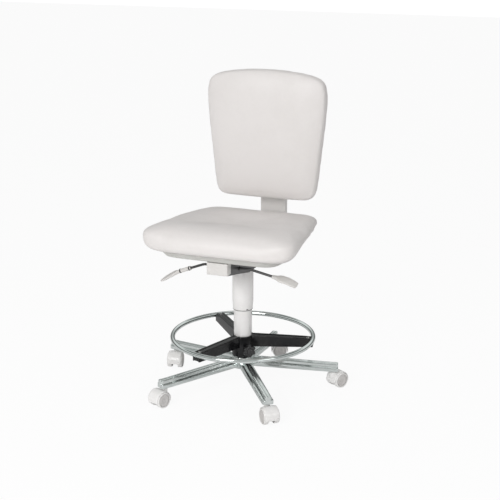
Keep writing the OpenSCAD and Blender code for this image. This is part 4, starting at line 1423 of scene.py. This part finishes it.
@dataclass
class Backrest:
    """The back: padded cushion, moulded rear shell and the upright that carries it."""

    low: float = 576.0
    high: float = 1009.0
    arch: float = 26.0
    front_y: float = 177.5
    join_y: float = 227.0
    rear_y: float = 240.0
    side: float = 0.62

    def half_width(self, z: float) -> float:
        """Returns half the back's width at a height."""
        share = (z - self.low) / (self.high - self.low)
        return mix(177.0, 209.0, ease(-0.1, 0.86, share)) - 4 * ease(0.8, 1.1, share)

    def outline(self, share: float, grow: float, y: float) -> Vector:
        """A point on the back's outline: arched top, firm shoulders, round lower corners.

        Args:
            share: how far round.
            grow: how much larger the outline is all round.
            y: its place from front to rear.

        Returns:
            The point.
        """
        turn = 2 * math.pi * share
        square = mix(9.5, 12.0, (math.sin(turn) + 1) / 2)
        unit_x, unit_z = squircle(share, 1.0, 1.0, square)
        middle, half = (self.low + self.high) / 2, (self.high - self.low) / 2
        z = middle + unit_z * (half + grow)
        x = unit_x * (self.half_width(z) + grow)
        if unit_z > 0:
            z -= self.arch * unit_z * (x / 206) ** 2
        bend = -6.0 * ease(self.low + 40, self.low + 190, z)
        bend += 5.0 * ease(self.low + 90, self.low, z)
        return Vector((x, y + bend * ease(self.rear_y, self.front_y, y), z))

    def body_point(self, share: float, rise: float) -> Vector:
        """A point on the cushion's skin, from the middle of its rear to that of its front.

        Args:
            share: how far round.
            rise: 0 at the middle of the rear, 1 at the middle of the front.

        Returns:
            The point.
        """
        depth = self.join_y - self.front_y
        middle = Vector((0, 0, (self.low + self.high) / 2))
        if rise < 0.14:
            edge = self.outline(share, -5, self.join_y - 0.4)
            p = middle + (edge - middle) * (rise / 0.14)
            return Vector((p.x, self.join_y - 0.4, p.z))
        if rise < 0.4:
            a = (rise - 0.14) / 0.26 * math.pi / 2
            grow = mix(-5, -2.5, math.sin(a))
            ahead = depth * self.side * (1 - math.cos(a))
            return self.outline(share, grow, self.join_y - 0.4 - ahead)
        a = (rise - 0.4) / 0.6 * math.pi / 2
        shrink = math.cos(a) ** 0.6
        lift = math.sin(a) ** 0.74
        edge = self.outline(share, -2.5, self.join_y)
        p = middle + (edge - middle) * shrink
        return Vector((p.x, self.join_y - 0.4 - depth * mix(self.side, 0.94, lift), p.z))

    def cushion(self) -> bpy.types.Object:
        """Builds the padded back and returns it."""
        rises = [0.0, 0.05, 0.1, 0.14, 0.16, 0.19, 0.23, 0.28, 0.34, 0.4, 0.43, 0.46, 0.49,
                 0.52, 0.55, 0.58, 0.61, 0.65, 0.69, 0.73, 0.78, 0.83, 0.88, 0.93, 1.0]
        rings = [
            (lambda share, rise=rise: self.body_point(share, rise)) for rise in rises
        ]
        skin = Shape.lofted(rings, 128, caps=False)
        obj = skin.piece("padded_back", "backrest", VINYL, ["back_cushion"], crease=170)
        puff(obj, 0.007, lambda p: 1.0 if p.y > (self.join_y - 5) * MM else 0.0)
        return obj

    def stack(self, stations: Sequence[Flat]) -> list[Ring]:
        """Returns the back's outline, one ring for each (place from front to rear, growth)."""
        return [(lambda share, y=y, grow=grow: self.outline(share, grow, y))
                for y, grow in stations]

    def shell(self) -> Shape:
        """Returns the moulded rear shell: a tucked rim, a round edge and a sunk panel."""
        stations = [
            (227.4, -24.0), (227.2, -16.0), (227.6, -13.4), (229.0, -12.6), (231.5, -13.0),
            (235.0, -15.0), (238.0, -18.6), (239.6, -23.0), (240.0, -28.0), (240.0, -46.0),
            (239.0, -50.0), (238.8, -64.0), (238.8, -120.0),
        ]
        return Shape.lofted(self.stack(stations), 128)

    def board(self) -> Shape:
        """Returns the plywood board behind the padding."""
        stations = [(227.3, -60.0), (227.3, -19.0), (228.0, -18.2), (235.2, -20.5),
                    (235.9, -21.4), (235.9, -60.0)]
        return Shape.lofted(self.stack(stations), 96)

    def upright(self) -> Shape:
        """Returns the upright's moulded cover with its tapered head and foot."""
        low, high = (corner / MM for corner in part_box("upright_cover"))
        middle = (low + high) / 2
        half_x, half_y = (high.x - low.x) / 2, (high.y - low.y) / 2
        stations = [(low.z, -1.6), (low.z + 1.4, -0.3), (low.z + 4, 0.0),
                    (high.z - 16, 0.0), (high.z - 6, -0.8), (high.z - 1.6, -2.6),
                    (high.z, -5.0)]

        def ring(z: float, grow: float) -> Ring:
            """Gives the upright's outline at a height.
            
            Args:
                z: the height.
                grow: how much larger it is all round.
            
            Returns:
                The outline as a ring.
            """
            def point(share: float) -> Vector:
                """Returns the point at a share of the way round."""
                a, b = squircle(share, half_x + grow, half_y + grow, 9)
                return Vector((a, middle.y + b, z))

            return point

        return Shape.lofted([ring(z, grow) for z, grow in stations], 72)

    def build(self) -> None:
        """Builds the cushion, the shell and the upright and dresses the rest."""
        self.cushion()
        self.board().piece("plywood_back_board", "backrest", PLYWOOD, ["back_board"])
        self.shell().piece("moulded_shell", "backrest", LIGHT_GREY, ["back_shell"], crease=60)
        self.upright().piece("upright_sheath", "back_frame", LIGHT_GREY, ["upright_cover"])
        DARK_STEEL.on_nodes("back_arm")
        BLACK_PLASTIC.on_nodes("back_carriage")
        ZINC.on_nodes("back_screws")


# ---- Studio ----


@dataclass
class Studio:
    """A pale floor, soft lights and the camera."""

    camera_at: tuple[float, float, float] = (1.3277, -3.3704, 1.4966)
    azimuth: float = 21.5
    pitch: float = 16.0
    lens: float = 85.9
    shift_x: float = 0.0142
    paper: float = 0.92

    def floor(self) -> None:
        """Lays a wide, flat pale floor."""
        bm = bmesh.new()
        bmesh.ops.create_grid(bm, x_segments=1, y_segments=1, size=14.0)
        mesh = bpy.data.meshes.new("studio_floor")
        bm.to_mesh(mesh)
        bm.free()
        obj = bpy.data.objects.new("studio_floor", mesh)
        bpy.context.scene.collection.objects.link(obj)
        material = bpy.data.materials.new("studio_floor")
        material.use_nodes = True
        tree = material.node_tree
        shader = tree.nodes["Principled BSDF"]
        shader.inputs["Roughness"].default_value = 0.9
        shader.inputs["Specular IOR Level"].default_value = 0.1
        coords = tree.nodes.new("ShaderNodeTexCoord")
        cloud = noise_node(tree, coords.outputs["Object"], 1.5, 3.0)
        tree.links.new(Finish.blend(tree, cloud.outputs["Fac"], (0.93, 0.93, 0.93),
                                    (0.95, 0.95, 0.95)), shader.inputs["Base Color"])
        paper = tree.nodes.new("ShaderNodeEmission")
        path = tree.nodes.new("ShaderNodeLightPath")
        both = tree.nodes.new("ShaderNodeMixShader")
        seen = remap(tree, path.outputs["Is Camera Ray"], 0.0, 1.0, 0.0, self.paper)
        tree.links.new(seen, both.inputs["Fac"])
        tree.links.new(shader.outputs[0], both.inputs[1])
        tree.links.new(paper.outputs[0], both.inputs[2])
        tree.links.new(both.outputs[0], tree.nodes["Material Output"].inputs["Surface"])
        obj.data.materials.append(material)

    def light(self, name: str, at: tuple[float, float, float], size: float, watts: float) -> None:
        """Adds a soft square light that looks at the chair.

        Args:
            name: the light's name.
            at: where it stands, in metres.
            size: its side, in metres.
            watts: its power.
        """
        data = bpy.data.lights.new(name, "AREA")
        data.size = size
        data.energy = watts
        obj = bpy.data.objects.new(name, data)
        obj.location = at
        aim = Vector((0, 0, 0.5)) - Vector(at)
        obj.rotation_euler = aim.to_track_quat("-Z", "Y").to_euler()
        bpy.context.scene.collection.objects.link(obj)

    def sky(self) -> None:
        """Surrounds the chair with even white, and darker tones for metal to mirror."""
        world = bpy.data.worlds.new("studio")
        bpy.context.scene.world = world
        world.use_nodes = True
        tree = world.node_tree
        soft = tree.nodes["Background"]
        soft.inputs["Color"].default_value = (1.0, 1.0, 1.0, 1.0)
        soft.inputs["Strength"].default_value = 0.5
        coords = tree.nodes.new("ShaderNodeTexCoord")
        split = tree.nodes.new("ShaderNodeSeparateXYZ")
        tree.links.new(coords.outputs["Generated"], split.inputs["Vector"])
        ramp = tree.nodes.new("ShaderNodeValToRGB")
        stops = ramp.color_ramp
        stops.elements[0].position = 0.0
        stops.elements[0].color = (0.55, 0.57, 0.56, 1)
        stops.elements[1].position = 1.0
        stops.elements[1].color = (1.0, 1.0, 1.0, 1)
        for position, tone in ((0.47, 0.4), (0.5, 0.04), (0.57, 0.08), (0.6, 0.34), (0.66, 0.42),
                               (0.7, 0.9), (0.8, 0.95), (0.83, 0.2), (0.93, 0.3)):
            stop = stops.elements.new(position)
            stop.color = (tone * 0.97, tone, tone * 0.985, 1)
        lift = tree.nodes.new("ShaderNodeMapRange")
        lift.inputs["From Min"].default_value = -1.0
        tree.links.new(split.outputs["Z"], lift.inputs["Value"])
        tree.links.new(lift.outputs["Result"], ramp.inputs["Fac"])
        mirror = tree.nodes.new("ShaderNodeBackground")
        mirror.inputs["Strength"].default_value = 0.9
        tree.links.new(ramp.outputs["Color"], mirror.inputs["Color"])
        backdrop = tree.nodes.new("ShaderNodeBackground")
        backdrop.inputs["Color"].default_value = (1.0, 1.0, 1.0, 1.0)
        backdrop.inputs["Strength"].default_value = 1.05
        path = tree.nodes.new("ShaderNodeLightPath")
        by_mirror = tree.nodes.new("ShaderNodeMixShader")
        by_camera = tree.nodes.new("ShaderNodeMixShader")
        tree.links.new(path.outputs["Is Glossy Ray"], by_mirror.inputs["Fac"])
        tree.links.new(soft.outputs[0], by_mirror.inputs[1])
        tree.links.new(mirror.outputs[0], by_mirror.inputs[2])
        tree.links.new(path.outputs["Is Camera Ray"], by_camera.inputs["Fac"])
        tree.links.new(by_mirror.outputs[0], by_camera.inputs[1])
        tree.links.new(backdrop.outputs[0], by_camera.inputs[2])
        tree.links.new(by_camera.outputs[0], tree.nodes["World Output"].inputs["Surface"])

    def build(self) -> None:
        """Sets up the floor, lights, surroundings and camera."""
        self.floor()
        self.light("key", (-0.4, -3.6, 1.9), 1.6, 66)
        self.light("side", (2.6, -1.6, 1.6), 1.4, 8)
        self.light("top", (0.2, 0.4, 3.4), 2.2, 8)
        self.sky()
        data = bpy.data.cameras.new("camera")
        data.lens = self.lens
        data.shift_x = self.shift_x
        data.clip_end = 60
        camera = bpy.data.objects.new("camera", data)
        camera.location = self.camera_at
        camera.rotation_euler = (math.radians(90 - self.pitch), 0, math.radians(self.azimuth))
        bpy.context.scene.collection.objects.link(camera)
        bpy.context.scene.camera = camera
        bpy.context.scene.view_settings.view_transform = "Standard"


def main() -> None:
    """Builds the chair on its frame, piece by piece."""
    logging.basicConfig(level=logging.INFO, format="%(message)s")
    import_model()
    for part in (StarBase(), FootRing(), Column(), Mechanism(), Seat(), Backrest(), Studio()):
        log.info("building %s", type(part).__name__)
        part.build()


if __name__ == "__main__":
    main()
